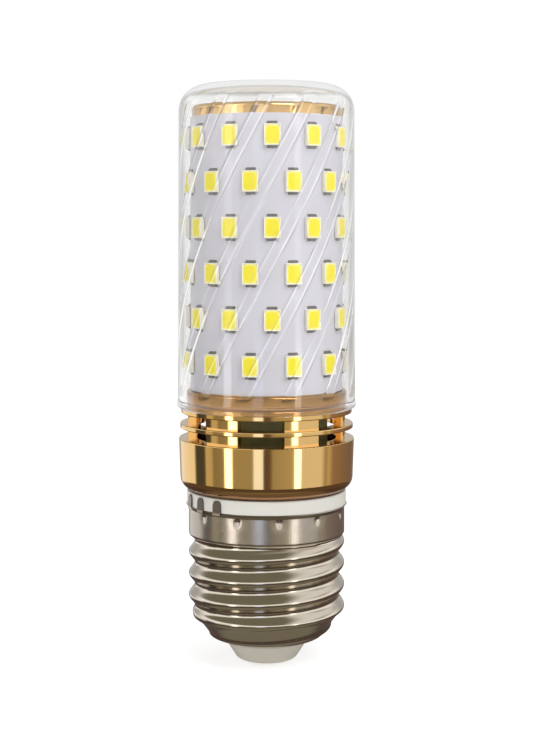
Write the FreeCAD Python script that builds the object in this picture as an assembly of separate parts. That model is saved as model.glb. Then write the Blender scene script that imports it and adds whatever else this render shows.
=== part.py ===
import FreeCAD, Part
import math
import os

Vector = FreeCAD.Vector
Z_AXIS = Vector(0, 0, 1)

# Driving dimensions, in millimetres and degrees.
# Z = 0 is the tip of the centre contact, and +Z runs up to the top of the cover.
# Angles about Z are counted from the front (-Y), positive towards +X.

# Centre contact: a nail with a domed head
contact_head_radius = 2.5
contact_head_height = 0.45
contact_shank_radius = 0.9
contact_shank_rise = 1.05

# Insulator: the pale cone at the foot of the cap
insulator_cone_draw = 2.1
insulator_cone_height = 3.2
insulator_foot_round = 1.3
insulator_flange_height = 1.35
insulator_boss_radius = 2.2
insulator_boss_height = 1.8

# Screw shell: thin rolled metal with a 27 mm Edison thread
thread_crest_radius = 13.1
thread_depth = 1.0
thread_pitch = 3.629
thread_crest_drop = 7.2
shell_wall = 0.3
shell_height = 23.0
shell_mouth_draw = 2.6
nose_draw = 2.5
nose_bend_height = 0.95
nose_bend_round = 1.5
nose_cone_slope = 1.3
nose_height = 3.8
skirt_height = 4.7
rim_flare = 0.4
rim_flare_height = 0.5
dimple_count = 12
dimple_angle = 9.0
dimple_drop = 1.05
dimple_radius = 0.9
dimple_depth = 0.32
claw_angles = (-36.5, -53.0, -69.0)
claw_width = 6.5
claw_height = 2.15
claw_overlap = 0.25
thread_facets = 36
thread_rows_per_turn = 6
thread_inner_facets = 24
thread_inner_rows_per_turn = 4

# Collar: white moulded neck between the screw shell and the housing
collar_band_reach = 0.25
collar_band_height = 2.4
collar_wall = 1.2
collar_tail_length = 16.0
collar_spigot_height = 5.0
collar_spigot_wall = 0.9
collar_snap_height = 0.7
collar_snap_grip = 0.3

# Housing: gold turned ring with two rows of vent slots
housing_foot_width = 1.2
housing_foot_height = 1.3
housing_foot_rounds = (1.5, 2.0)
housing_taper = 0.25
housing_setback = 0.3
housing_wall = 1.3
housing_body_height = 8.7
housing_lip_height = 0.9
housing_lip_reach = 1.65
groove_depth = 1.5
groove_height = 1.7
ridge_setback = 0.2
ridge_height = 0.8
vent_wall = 1.5
vent_floor = 0.8
slot_count = 6
slot_angle = -3.9
slot_sweep = 33.0
shoulder_setback = 0.4
shoulder_height = 0.75
neck_height = 3.15
neck_ring_height = 0.75
neck_groove_depth = 0.55
neck_groove_height = 0.5
neck_top_setback = 0.35
seat_height = 0.5
edge_round = 0.15

# Column: drawn gold cup that carries the board of light chips
column_radius = 12.45
column_wall = 0.8
column_height = 50.35
column_edge_round = 0.6

# Board of light chips, wrapped round the column
board_thickness = 0.25
board_top_margin = 1.75
board_foot_margin = 0.1
board_seam_angle = 176.4
board_seam_width = 0.5

# Light chips: six staggered rows of twelve
chip_width = 2.7
chip_height = 3.5
chip_depth = 0.7
chip_wall = 0.3
chip_cup_depth = 0.45
chip_cup_draft = 0.15
chip_fill_drop = 0.05
chip_columns = 12
chip_rows = 6
chip_first_angle = 3.9
chip_stagger = -15.0
chip_first_drop = 3.5
chip_last_rise = 4.75
solder_width = 1.6
solder_reach = 0.42
solder_height = 0.38

# Clear cover with twelve twisted flutes inside
cover_headroom = 2.65
cover_wall = 0.75
cover_draft = 0.2
cover_bead = 0.15
cover_bead_height = 0.75
cover_lip = 0.6
cover_corner_round = 4.2
cover_inner_round = 2.8
cover_top_wall = 1.0
flute_count = 12
flute_width = 2.0
flute_depth = 0.25
flute_twist = 2.2
flute_angle = -1.9
flute_foot = 3.6

# Driver board and what is on it, standing in the collar
driver_edge_gap = 0.3
driver_thickness = 1.0
driver_height = 29.5
driver_foot_rise = 2.3
driver_slot_depth = 1.4
driver_rib_width = 1.0
driver_rib_height = 12.0
capacitor_clearance = 1.9
capacitor_length = 11.5
capacitor_foot = 7.0
capacitor_groove = 0.3
lead_radius = 0.3
rectifier_size = (4.7, 2.4, 3.8)
rectifier_foot = 6.5
rectifier_leg = 1.0
regulator_size = (4.5, 1.5, 2.5)
regulator_foot = 11.5
regulator_pitch = 3.6
regulator_gap = 1.75
regulator_count = 3
resistor_size = (3.2, 0.6, 1.6)
resistor_pitch = 2.9
resistor_count = 4
fuse_radius = 1.6
fuse_length = 8.0
fuse_foot = 2.0
wire_radius = 0.55
wire_bend = 2.8
wire_hole_angle = 9.0
wire_hole_rise = 1.4

# Clearances
fit_gap = 0.05
snap_gap = 0.1
board_gap = 0.03
chip_clearance = 0.445

# How far a cutter reaches past what it cuts
cut_margin = 1.0


# Heights worked out from the driving dimensions, from the foot up

insulator_foot_z = contact_head_height
shell_foot_z = insulator_foot_z + insulator_cone_height
nose_bend_z = shell_foot_z + nose_bend_height
flange_foot_z = nose_bend_z + shell_wall
flange_top_z = flange_foot_z + insulator_flange_height
insulator_top_z = flange_top_z + insulator_boss_height
shank_top_z = insulator_top_z + contact_shank_rise
thread_foot_z = shell_foot_z + nose_height
shell_rim_z = shell_foot_z + shell_height
thread_top_z = shell_rim_z - skirt_height
thread_crest_z = shell_rim_z - thread_crest_drop
collar_tail_z = shell_rim_z - collar_tail_length
collar_top_z = shell_rim_z + collar_band_height
lower_groove_z = collar_top_z + housing_body_height
ridge_z = lower_groove_z + groove_height
upper_groove_z = ridge_z + ridge_height
shoulder_z = upper_groove_z + groove_height
seat_z = shoulder_z + seat_height
cover_foot_z = shoulder_z + shoulder_height
neck_top_z = cover_foot_z + neck_height
column_top_z = seat_z + column_height
board_foot_z = neck_top_z + board_foot_margin
board_top_z = column_top_z - board_top_margin
board_height = board_top_z - board_foot_z
chip_row_pitch = (board_height - chip_first_drop - chip_last_rise) / (chip_rows - 1)
cover_ceiling_z = column_top_z + cover_headroom
cover_top_z = cover_ceiling_z + cover_top_wall
flute_foot_z = cover_foot_z + flute_foot
flute_top_z = cover_ceiling_z - cover_inner_round
flute_length = flute_top_z - flute_foot_z
driver_foot_z = collar_tail_z + driver_foot_rise
driver_top_z = driver_foot_z + driver_height

# Radii of the cap, from the thread's crest inwards

shell_bore_radius = thread_crest_radius - shell_wall
thread_root_radius = thread_crest_radius - thread_depth
root_bore_radius = thread_root_radius - shell_wall
nose_bend_radius = thread_root_radius - nose_draw
shell_mouth_radius = nose_bend_radius - shell_mouth_draw
insulator_foot_radius = shell_mouth_radius - insulator_cone_draw
collar_tail_radius = root_bore_radius - snap_gap
collar_bore_radius = collar_tail_radius - collar_wall
collar_band_radius = thread_crest_radius + collar_band_reach

# Radii from the column out to the cover, and from the cover in to the housing

board_inner_radius = column_radius + board_gap
board_outer_radius = board_inner_radius + board_thickness
chip_base = board_outer_radius + fit_gap / 2
chip_face = chip_base + chip_depth
cover_inner_radius = chip_face + chip_clearance
cover_bore_radius = cover_inner_radius + fit_gap
cover_top_radius = cover_inner_radius + cover_wall
cover_foot_radius = cover_top_radius + cover_draft
cover_bead_radius = cover_foot_radius + cover_bead
housing_high_radius = cover_bead_radius - housing_setback
housing_low_radius = housing_high_radius - housing_taper
housing_bore_radius = housing_high_radius - housing_wall
housing_lip_radius = housing_bore_radius - housing_lip_reach
spigot_radius = housing_lip_radius - fit_gap
spigot_bore_radius = spigot_radius - collar_spigot_wall
ridge_radius = housing_high_radius - ridge_setback
shoulder_radius = housing_high_radius - shoulder_setback
groove_radius = housing_high_radius - groove_depth
vent_bore_radius = groove_radius - vent_wall
neck_radius = cover_inner_radius - snap_gap

# The driver passes the narrower of the collar's two bores

driver_passage = min(collar_bore_radius, spigot_bore_radius)
driver_width = 2 * (driver_passage - driver_edge_gap)
driver_back = driver_thickness / 2
capacitor_radius = (driver_passage - driver_back - snap_gap - capacitor_clearance) / 2
resistor_x = -driver_width / 2 + driver_slot_depth + resistor_size[0]
regulator_x = resistor_x + resistor_size[0] / 2 + regulator_gap + regulator_size[0] / 2


# Shared shapes

def polar(radius, angle, z):
    """A point at an angle from the front, positive towards +X."""
    turn = math.radians(angle)
    return Vector(radius * math.sin(turn), -radius * math.cos(turn), z)


def rounded_wire(points, rounds, closed):
    """Straight runs joined by tangent arcs; a round of 0 leaves its corner sharp."""
    count = len(points)
    starts = list(points)
    ends = list(points)
    mids = [None] * count
    for i in range(count):
        open_end = not closed and i in (0, count - 1)
        if open_end or rounds[i] <= 0:
            continue
        corner = points[i]
        back = (points[i - 1] - corner).normalize()
        ahead = (points[(i + 1) % count] - corner).normalize()
        half = back.getAngle(ahead) / 2
        reach = rounds[i] / math.tan(half)
        starts[i] = corner + back * reach
        ends[i] = corner + ahead * reach
        inward = (back + ahead).normalize()
        mids[i] = corner + inward * (rounds[i] / math.sin(half) - rounds[i])
    edges = []
    for i in range(count):
        if mids[i] is not None:
            edges.append(Part.Arc(starts[i], mids[i], ends[i]).toShape())
        last = i == count - 1
        if last and not closed:
            break
        target = starts[(i + 1) % count]
        if (target - ends[i]).Length > 1e-6:
            edges.append(Part.LineSegment(ends[i], target).toShape())
    return Part.Wire(edges)


def turned(profile):
    """A solid of revolution from (radius, height, round) corners."""
    points = [Vector(radius, 0, z) for radius, z, _ in profile]
    rounds = [corner_round for _, _, corner_round in profile]
    face = Part.Face(rounded_wire(points, rounds, True))
    return face.revolve(Vector(0, 0, 0), Z_AXIS, 360)


def cylinder(radius, foot, top):
    """An upright cylinder on the Z axis."""
    return Part.makeCylinder(radius, top - foot, Vector(0, 0, foot))


def tube(outer, inner, foot, top):
    """An upright tube on the Z axis."""
    return cylinder(outer, foot, top).cut(cylinder(inner, foot - cut_margin, top + cut_margin))


def block(size, centre_foot):
    """A box of size (x, y, z), standing on the middle of its foot."""
    corner = Vector(centre_foot.x - size[0] / 2, centre_foot.y - size[1] / 2, centre_foot.z)
    return Part.makeBox(size[0], size[1], size[2], corner)


def turned_copy(shape, angle):
    """A copy turned about Z, from the front by an angle."""
    copy = shape.copy()
    copy.rotate(Vector(0, 0, 0), Z_AXIS, angle)
    return copy


def sector(outer, inner, foot, top, angle, sweep):
    """A piece of a ring, centred on an angle from the front."""
    low = polar(1, angle - sweep / 2, 0)
    ring = Part.makeCylinder(outer, top - foot, Vector(0, 0, foot), Z_AXIS, sweep)
    ring = ring.cut(cylinder(inner, foot - cut_margin, top + cut_margin))
    ring.rotate(Vector(0, 0, 0), Z_AXIS, math.degrees(math.atan2(low.y, low.x)))
    return ring


def wire_along(points, radius, bend):
    """A round wire along straight runs and tangent bends."""
    path = rounded_wire(points, [bend] * len(points), False)
    direction = points[1] - points[0]
    section = Part.Wire(Part.makeCircle(radius, points[0], direction))
    return path.makePipeShell([section], True, True)


def save(node, shape):
    """Writes one node, as the solids that it holds."""
    solids = shape.Solids
    kept = solids[0] if len(solids) == 1 else Part.makeCompound(solids)
    kept.exportStep("parts/" + node + ".step")
    print(node, len(solids), round(kept.Volume, 1), kept.isValid())


# Screw shell

def thread_radius(angle, z):
    """The rolled thread's outer radius, run out into the skirt above and the nose below."""
    phase = 2 * math.pi * (z - thread_crest_z) / thread_pitch - math.radians(angle)
    wave = thread_root_radius + thread_depth * (0.5 + 0.5 * math.cos(phase))
    blend = (z - thread_top_z) / (thread_pitch / 4) + 1
    blend = min(max(blend, 0.0), 1.0)
    skirt = thread_crest_radius - shell_wall / 3
    nose = nose_radius(z)
    return min(wave + (skirt - wave) * blend, nose)


def nose_radius(z):
    """The nose cone's outer radius at a height."""
    return nose_bend_radius + (z - nose_bend_z) / nose_cone_slope


def thread_grid(facets, rows, foot, top, inset):
    """Points over the rolled thread, column by column."""
    grid = []
    for column in range(facets):
        angle = 360 * column / facets
        line = []
        for row in range(rows + 1):
            z = foot + (top - foot) * row / rows
            line.append(polar(thread_radius(angle, z) - inset, angle, z))
        grid.append(line)
    return grid


def grid_faces(grid):
    """Three-cornered faces over a closed grid of points."""
    faces = []
    for column, line in enumerate(grid):
        neighbour = grid[(column + 1) % len(grid)]
        for row in range(len(line) - 1):
            low, high = line[row], line[row + 1]
            next_low, next_high = neighbour[row], neighbour[row + 1]
            faces.append(Part.Face(Part.makePolygon([low, next_low, next_high, low])))
            faces.append(Part.Face(Part.makePolygon([low, next_high, high, low])))
    return faces


def rolled_thread():
    """The threaded wall: an outer and an inner wave, closed by flat rings at both ends."""
    inset = shell_wall / 3
    foot = thread_foot_z
    top = thread_top_z + inset
    turns = (top - foot) / thread_pitch
    outer = thread_grid(thread_facets, round(turns * thread_rows_per_turn), foot, top, 0.0)
    inner_rows = round(turns * thread_inner_rows_per_turn)
    inner = thread_grid(thread_inner_facets, inner_rows, foot, top, shell_wall)
    faces = grid_faces(outer) + grid_faces(inner)
    for row in (0, -1):
        outer_ring = Part.makePolygon([line[row] for line in outer] + [outer[0][row]])
        inner_ring = Part.makePolygon([line[row] for line in inner] + [inner[0][row]])
        faces.append(Part.makeFace([outer_ring, inner_ring], "Part::FaceMakerBullseye"))
    shell = Part.makeShell(faces)
    shell.sewShape()
    return Part.makeSolid(shell)


def shell_nose():
    """The drawn-in foot of the screw shell, down to its mouth."""
    lap = 2 * shell_wall / 3
    top = thread_foot_z + lap
    return turned([
        (shell_mouth_radius, shell_foot_z, 0),
        (nose_bend_radius + lap / 2, nose_bend_z, nose_bend_round),
        (nose_radius(top) + lap / 2, top, 0),
        (nose_radius(top) - shell_wall, top, 0),
        (nose_bend_radius - shell_wall / 2, flange_foot_z, nose_bend_round - shell_wall),
        (shell_mouth_radius, shell_foot_z + shell_wall * 1.2, 0),
    ])


def dimple_ball(radius, surface_radius, angle):
    """The ball that a crimping punch leaves in the skirt."""
    reach = surface_radius - dimple_depth + dimple_radius
    return Part.makeSphere(radius, polar(reach, angle, shell_rim_z - dimple_drop))


def dimple_angles():
    """Where the punches strike, round the rim."""
    return [dimple_angle + 360 * n / dimple_count for n in range(dimple_count)]


def claw(angle):
    """One finger that rises from the rim over the collar's band, round at its top."""
    inner = collar_band_radius + fit_gap / 2
    foot = shell_rim_z - claw_overlap
    top = shell_rim_z + claw_height
    half = claw_width * math.pi / 180 * inner / 2
    front = -inner - cut_margin
    corners = [Vector(-half, front, foot), Vector(half, front, foot),
               Vector(half, front, top), Vector(-half, front, top)]
    outline = rounded_wire(corners, [0, 0, half / 2, half * 0.8], True)
    finger = Part.Face(outline).extrude(Vector(0, 2 * cut_margin, 0))
    finger = finger.common(tube(inner + shell_wall, inner, foot - cut_margin, top + cut_margin))
    return turned_copy(finger, angle)


def screw_shell():
    """Nose, rolled thread, plain skirt with crimp dimples, flared rim and claws."""
    flare_z = shell_rim_z - rim_flare_height
    skirt = turned([
        (thread_crest_radius, thread_top_z, 0),
        (thread_crest_radius, flare_z, 0.5),
        (thread_crest_radius + rim_flare, shell_rim_z, 0),
        (thread_crest_radius + rim_flare - shell_wall, shell_rim_z, 0),
        (shell_bore_radius, flare_z, 0.4),
        (shell_bore_radius, thread_top_z, 0),
    ])
    inside = cylinder(shell_bore_radius + shell_wall / 2, thread_top_z, flare_z)
    for angle in dimple_angles():
        cup = dimple_ball(dimple_radius + shell_wall, thread_crest_radius, angle)
        skirt = skirt.fuse(cup.common(inside))
    for angle in dimple_angles():
        skirt = skirt.cut(dimple_ball(dimple_radius, thread_crest_radius, angle))
    for angle in claw_angles:
        skirt = skirt.fuse(claw(angle))
    return skirt.fuse(rolled_thread()).fuse(shell_nose())


# Insulator and centre contact

def insulator():
    """The pale cone, its flange inside the nose and the boss round the nail."""
    neck = shell_mouth_radius - fit_gap
    flange = nose_bend_radius - shell_wall - 2 * fit_gap
    bore = contact_shank_radius + fit_gap
    return turned([
        (bore, insulator_foot_z, 0),
        (insulator_foot_radius, insulator_foot_z, insulator_foot_round),
        (neck, shell_foot_z, 0.6),
        (neck, shell_foot_z + shell_wall * 1.2 + fit_gap, 0),
        (flange, flange_foot_z, 0),
        (flange, flange_top_z, 0.3),
        (insulator_boss_radius, flange_top_z, 0),
        (insulator_boss_radius, insulator_top_z, 0.3),
        (bore, insulator_top_z, 0),
    ])


def centre_contact():
    """A nail: domed head below the insulator and a shank up through it."""
    head = turned([
        (0, 0, 0),
        (contact_head_radius * 0.7, 0, 0.6),
        (contact_head_radius, insulator_foot_z * 0.6, 0),
        (contact_head_radius, insulator_foot_z, 0),
        (0, insulator_foot_z, 0),
    ])
    return head.fuse(cylinder(contact_shank_radius, insulator_foot_z, shank_top_z))


# Collar

def collar():
    """Band, tail inside the screw shell, spigot inside the housing, ribs for the driver."""
    top = collar_top_z + collar_spigot_height
    snap_z = collar_top_z + housing_lip_height + fit_gap
    plug = shell_bore_radius - fit_gap
    step_z = (shell_rim_z + collar_top_z) / 2
    body = turned([
        (collar_bore_radius, collar_tail_z, 0),
        (collar_tail_radius, collar_tail_z, 0.4),
        (collar_tail_radius, thread_top_z + shell_wall, 0),
        (plug, thread_top_z + shell_wall + 0.3, 0),
        (plug, shell_rim_z - rim_flare_height, 0),
        (thread_crest_radius - fit_gap, shell_rim_z, 0),
        (collar_band_radius, shell_rim_z, 0),
        (collar_band_radius, collar_top_z, 0.2),
        (spigot_radius, collar_top_z, 0),
        (spigot_radius, snap_z, 0),
        (spigot_radius + collar_snap_grip, snap_z, 0),
        (spigot_radius, snap_z + collar_snap_height, 0),
        (spigot_radius, top, 0.3),
        (spigot_bore_radius, top, 0),
        (spigot_bore_radius, step_z, 0),
        (collar_bore_radius, step_z, 0),
    ])
    for angle in dimple_angles():
        pocket = dimple_ball(dimple_radius + shell_wall + fit_gap, thread_crest_radius, angle)
        body = body.cut(pocket)
    slot_floor = driver_width / 2 + fit_gap
    rib_reach = slot_floor - driver_slot_depth
    rib_depth = collar_bore_radius + collar_wall / 2 - rib_reach
    for side in (-1, 1):
        for face in (-1, 1):
            centre = Vector(side * (rib_reach + rib_depth / 2),
                            face * (driver_back + fit_gap + driver_rib_width / 2), driver_foot_z)
            body = body.fuse(block((rib_depth, driver_rib_width, driver_rib_height), centre))
    return body


# Housing

def vent_slots(foot):
    """Cutters for one row of slots, as tall as their groove, through the groove's floor."""
    outer = groove_radius + edge_round
    inner = vent_bore_radius - cut_margin
    return [sector(outer, inner, foot, foot + groove_height, slot_angle + 360 * n / slot_count,
                   slot_sweep) for n in range(slot_count)]


def housing():
    """Turned ring: foot, body, two slotted grooves, shoulder and neck under the cover."""
    lip_z = collar_top_z + housing_lip_height
    neck_bore = column_radius + fit_gap
    neck_top_radius = neck_radius - neck_top_setback
    ring_z = cover_foot_z + neck_ring_height
    foot_edge_round, foot_side_round = housing_foot_rounds
    top_ring_z = ring_z + neck_groove_height
    body = turned([
        (housing_lip_radius, collar_top_z, 0),
        (housing_lip_radius + housing_foot_width, collar_top_z, foot_edge_round),
        (housing_low_radius, collar_top_z + housing_foot_height, foot_side_round),
        (housing_high_radius, lower_groove_z, edge_round),
        (groove_radius, lower_groove_z, 0),
        (groove_radius, ridge_z, 0),
        (ridge_radius, ridge_z, edge_round),
        (ridge_radius, upper_groove_z, edge_round),
        (groove_radius, upper_groove_z, 0),
        (groove_radius, shoulder_z, 0),
        (shoulder_radius, shoulder_z, edge_round),
        (shoulder_radius, cover_foot_z, 0),
        (neck_radius, cover_foot_z, 0),
        (neck_radius, ring_z, edge_round),
        (neck_radius - neck_groove_depth, ring_z, 0),
        (neck_radius - neck_groove_depth, top_ring_z, 0),
        (neck_top_radius, top_ring_z, edge_round),
        (neck_top_radius, neck_top_z, 0.4),
        (neck_bore, neck_top_z, 0),
        (neck_bore, seat_z, 0),
        (vent_bore_radius, seat_z, 0),
        (vent_bore_radius, lower_groove_z - vent_floor, 0),
        (housing_bore_radius, lower_groove_z - vent_floor, 0),
        (housing_bore_radius, lip_z, 0),
        (housing_lip_radius, lip_z, 0),
    ])
    return body.cut(Part.makeCompound(vent_slots(lower_groove_z) + vent_slots(upper_groove_z)))


# Column and its board

def wire_hole(angle):
    """A hole for a supply wire, through the column and the board."""
    hole = Part.makeCylinder(wire_radius + snap_gap, board_outer_radius + 2 * cut_margin,
                             Vector(0, 0, board_foot_z + wire_hole_rise), Vector(0, -1, 0))
    return turned_copy(hole, angle)


def wire_hole_angles():
    """The two wire holes, one on each side of the seam."""
    return [board_seam_angle - wire_hole_angle, board_seam_angle + wire_hole_angle]


def column():
    """A drawn cup, closed at its top, standing in the housing's neck."""
    inner = column_radius - column_wall
    cup = turned([
        (inner, seat_z, 0),
        (column_radius, seat_z, 0),
        (column_radius, column_top_z, column_edge_round),
        (0, column_top_z, 0),
        (0, column_top_z - column_wall, 0),
        (inner, column_top_z - column_wall, 0.3),
    ])
    for angle in wire_hole_angles():
        cup = cup.cut(wire_hole(angle))
    return cup


def light_board():
    """A thin white sheet bent round the column, with its seam at the back."""
    sheet = tube(board_outer_radius, board_inner_radius, board_foot_z, board_top_z)
    seam = block((board_seam_width, board_outer_radius * 2, board_height + 2 * cut_margin),
                 Vector(0, -board_outer_radius, board_foot_z - cut_margin))
    sheet = sheet.cut(turned_copy(seam, board_seam_angle))
    for angle in wire_hole_angles():
        sheet = sheet.cut(wire_hole(angle))
    return sheet


# Light chips

def rectangle(width, height, depth):
    """A rectangular wire facing the front, at a distance from the axis."""
    corners = [Vector(x * width / 2, -depth, z * height / 2)
               for x, z in ((-1, -1), (1, -1), (1, 1), (-1, 1))]
    return Part.makePolygon(corners + [corners[0]])


def chip_cup(drop):
    """The drafted cup in a chip's face, up to a drop below the face."""
    wide = chip_width - 2 * chip_wall
    tall = chip_height - 2 * chip_wall
    shrink = 2 * chip_cup_draft
    slope = shrink / chip_cup_depth
    mouth = rectangle(wide - slope * drop, tall - slope * drop, chip_face - drop)
    floor = rectangle(wide - shrink, tall - shrink, chip_face - chip_cup_depth)
    return Part.makeLoft([floor, mouth], True, True)


def chip_body():
    """A chip's white body, with the cup that holds the phosphor."""
    middle = Vector(0, -chip_base - chip_depth / 2, -chip_height / 2)
    return block((chip_width, chip_depth, chip_height), middle).cut(chip_cup(0.0))


def solder_fillets():
    """The two solder wedges at a chip's ends."""
    wedges = []
    for side in (-1, 1):
        end = side * (chip_height / 2)
        corners = [
            Vector(-solder_width / 2, -chip_base, end),
            Vector(-solder_width / 2, -chip_base - solder_height, end),
            Vector(-solder_width / 2, -chip_base, end + side * solder_reach),
        ]
        face = Part.Face(Part.makePolygon(corners + [corners[0]]))
        wedges.append(face.extrude(Vector(solder_width, 0, 0)))
    return Part.makeCompound(wedges)


def chip_row(shape, row):
    """Twelve copies round the board, every other row staggered."""
    z = board_top_z - chip_first_drop - row * chip_row_pitch
    start = chip_first_angle + (row % 2) * chip_stagger
    copies = []
    for n in range(chip_columns):
        copy = turned_copy(shape, start + 360 * n / chip_columns)
        copy.translate(Vector(0, 0, z))
        copies.append(copy)
    return Part.makeCompound(copies)


# Clear cover

def flute_section(z):
    """The cover's bore at a height: plain arcs joined by shallow ridges that bulge inwards."""
    pitch_angle = 360 / flute_count
    half = math.degrees(flute_width / 2 / cover_inner_radius)
    start = flute_angle + flute_twist * (z - column_top_z)
    edges = []
    for n in range(flute_count):
        centre = start + n * pitch_angle
        low = polar(cover_inner_radius, centre - half, z)
        tip = polar(cover_inner_radius - flute_depth, centre, z)
        high = polar(cover_inner_radius, centre + half, z)
        land = polar(cover_inner_radius, centre + pitch_angle / 2, z)
        following = polar(cover_inner_radius, centre + pitch_angle - half, z)
        edges.append(Part.Arc(low, tip, high).toShape())
        edges.append(Part.Arc(high, land, following).toShape())
    return Part.Wire(edges)


def fluted_bore():
    """The section swept up the axis while a helix turns it."""
    foot = Vector(0, 0, flute_foot_z)
    spine = Part.Wire(Part.LineSegment(foot, foot + Z_AXIS * flute_length).toShape())
    guide = Part.makeHelix(360 / flute_twist, flute_length, cover_inner_radius)
    guide.translate(foot)
    sweep = Part.BRepOffsetAPI.MakePipeShell(spine)
    sweep.setAuxiliarySpine(Part.Wire(guide.Edges), True, 0)
    sweep.add(flute_section(flute_foot_z))
    sweep.build()
    sweep.makeSolid()
    return sweep.shape()


def clear_cover():
    """Domed tube with a bead at its foot, smooth outside and fluted inside."""
    bead_z = cover_foot_z + cover_bead_height
    outside = turned([
        (0, cover_foot_z, 0),
        (cover_foot_radius - cover_lip, cover_foot_z, 0),
        (cover_bead_radius, bead_z, 0.5),
        (cover_foot_radius, bead_z + cover_bead_height, 0.8),
        (cover_top_radius, cover_top_z, cover_corner_round),
        (0, cover_top_z, 0),
    ])
    top_bore = turned([
        (0, flute_top_z - fit_gap, 0),
        (cover_bore_radius, flute_top_z - fit_gap, 0),
        (cover_bore_radius, cover_ceiling_z, cover_inner_round),
        (0, cover_ceiling_z, 0),
    ])
    foot_bore = cylinder(cover_bore_radius, cover_foot_z - cut_margin, flute_foot_z + fit_gap)
    return outside.cut(fluted_bore()).cut(foot_bore).cut(top_bore)


# Driver board and its parts

def driver_board():
    """The green board that stands in the collar's ribs."""
    return block((driver_width, driver_thickness, driver_height), Vector(0, 0, driver_foot_z))


def smoothing_capacitor():
    """An upright can with a crimp groove, and two leads into the board."""
    centre_y = driver_back + snap_gap + capacitor_radius
    foot = driver_foot_z + capacitor_foot
    top = foot + capacitor_length
    crimp = foot + capacitor_radius / 2
    can = turned([
        (0, foot, 0),
        (capacitor_radius, foot, 0.4),
        (capacitor_radius, crimp - capacitor_groove, 0),
        (capacitor_radius - capacitor_groove, crimp, 0.2),
        (capacitor_radius, crimp + capacitor_groove, 0),
        (capacitor_radius, top, 0.5),
        (0, top, 0),
    ])
    for side in (-1, 1):
        x = side * capacitor_radius * 0.45
        knee = foot - 1.2
        lead = wire_along([Vector(x, 0, foot + 0.4), Vector(x, 0, knee),
                           Vector(x, driver_back - centre_y, knee)], lead_radius, 0.8)
        can = can.fuse(lead)
    can.translate(Vector(0, centre_y, 0))
    return can


def bridge_rectifier():
    """A flat moulded block on the board's front, on four bent legs."""
    wide, deep, tall = rectifier_size
    foot = driver_foot_z + rectifier_foot
    lift = lead_radius
    body = block(rectifier_size, Vector(0, -driver_back - lift - deep / 2, foot))
    legs = []
    for side in (-1, 1):
        for level in (0.2, 0.8):
            x = side * (wide / 2 + rectifier_leg / 2)
            y = -driver_back - deep / 4
            z = foot + tall * level - lead_radius
            legs.append(block((rectifier_leg, deep / 2, 2 * lead_radius), Vector(x, y, z)))
    for leg in legs:
        body = body.fuse(leg)
    return body


def flat_part(size, x, foot):
    """A soldered part that lies flat on the board's front."""
    return block(size, Vector(x, -driver_back - size[1] / 2, foot))


def current_regulators():
    """Three small packages with a heat tab each, one above the other."""
    wide, deep, tall = regulator_size
    parts = []
    for n in range(regulator_count):
        foot = driver_foot_z + regulator_foot + n * regulator_pitch
        tab = flat_part((rectifier_leg, lead_radius, tall * 0.7), 0, foot + tall * 0.15)
        tab.translate(Vector(regulator_x + wide / 2 + rectifier_leg / 2, 0, 0))
        parts.append(flat_part(regulator_size, regulator_x, foot).fuse(tab))
    return Part.makeCompound(parts)


def chip_resistors():
    """Four chip resistors in a column beside the regulators."""
    return Part.makeCompound([
        flat_part(resistor_size, resistor_x, driver_foot_z + regulator_foot + n * resistor_pitch)
        for n in range(resistor_count)])


def fuse_resistor():
    """A waisted body lying across the board's back, with two bent leads."""
    reach = fuse_length / 2
    end_round = fuse_radius / 2
    body = turned([
        (0, -reach, 0),
        (fuse_radius, -reach, end_round),
        (fuse_radius, -reach / 2, 0.3),
        (fuse_radius * 0.85, -reach / 3, 0.3),
        (fuse_radius * 0.85, reach / 3, 0.3),
        (fuse_radius, reach / 2, 0.3),
        (fuse_radius, reach, end_round),
        (0, reach, 0),
    ])
    body.rotate(Vector(0, 0, 0), Vector(0, 1, 0), 90)
    for side in (-1, 1):
        knee = side * (reach + 1.0)
        points = [Vector(side * (reach - 0.5), 0, 0), Vector(knee, 0, 0),
                  Vector(knee, -fuse_radius - snap_gap, 0)]
        body = body.fuse(wire_along(points, lead_radius, 0.8))
    height = driver_foot_z + fuse_foot + fuse_radius
    body.translate(Vector(0, driver_back + fuse_radius + snap_gap, height))
    return body


def back_pad_y():
    """How far behind the board's middle a wire lies when it is soldered there."""
    return driver_back + wire_radius


def live_wire():
    """From the nail's upper end to the board's lower edge."""
    side = -driver_width / 2 + 3 * wire_bend
    bottom = driver_foot_z - wire_bend / 2
    y = -back_pad_y()
    return wire_along([
        Vector(0, 0, shank_top_z),
        Vector(0, 0, (shank_top_z + bottom) / 2),
        Vector(side, y, bottom),
        Vector(side, y, driver_foot_z + wire_bend),
    ], wire_radius, wire_radius * 1.6)


def neutral_wire():
    """From the screw shell's inner wall, under the collar's tail, to the board."""
    y = -back_pad_y()
    z = collar_tail_z - wire_radius - snap_gap
    side = driver_width / 2 - 2 * wire_bend
    return wire_along([
        Vector(root_bore_radius - snap_gap, 0, z),
        Vector(side, 0, z),
        Vector(side, y, driver_foot_z - wire_bend / 2),
        Vector(side, y, driver_foot_z + wire_bend),
    ], wire_radius, wire_radius * 1.6)


def supply_wire(angle):
    """From the board's top, up inside the column and out through its hole."""
    hole_z = board_foot_z + wire_hole_rise
    outlet = polar(board_outer_radius, angle, hole_z)
    inside = polar(column_radius - column_wall - wire_bend, angle, hole_z)
    y = back_pad_y()
    x = -outlet.x / abs(outlet.x) * -1 * wire_bend
    return wire_along([
        Vector(x, y, driver_top_z - wire_bend),
        Vector(x, y, driver_top_z + wire_bend),
        inside,
        outlet,
    ], wire_radius, wire_bend / 2)


# Output

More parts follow.
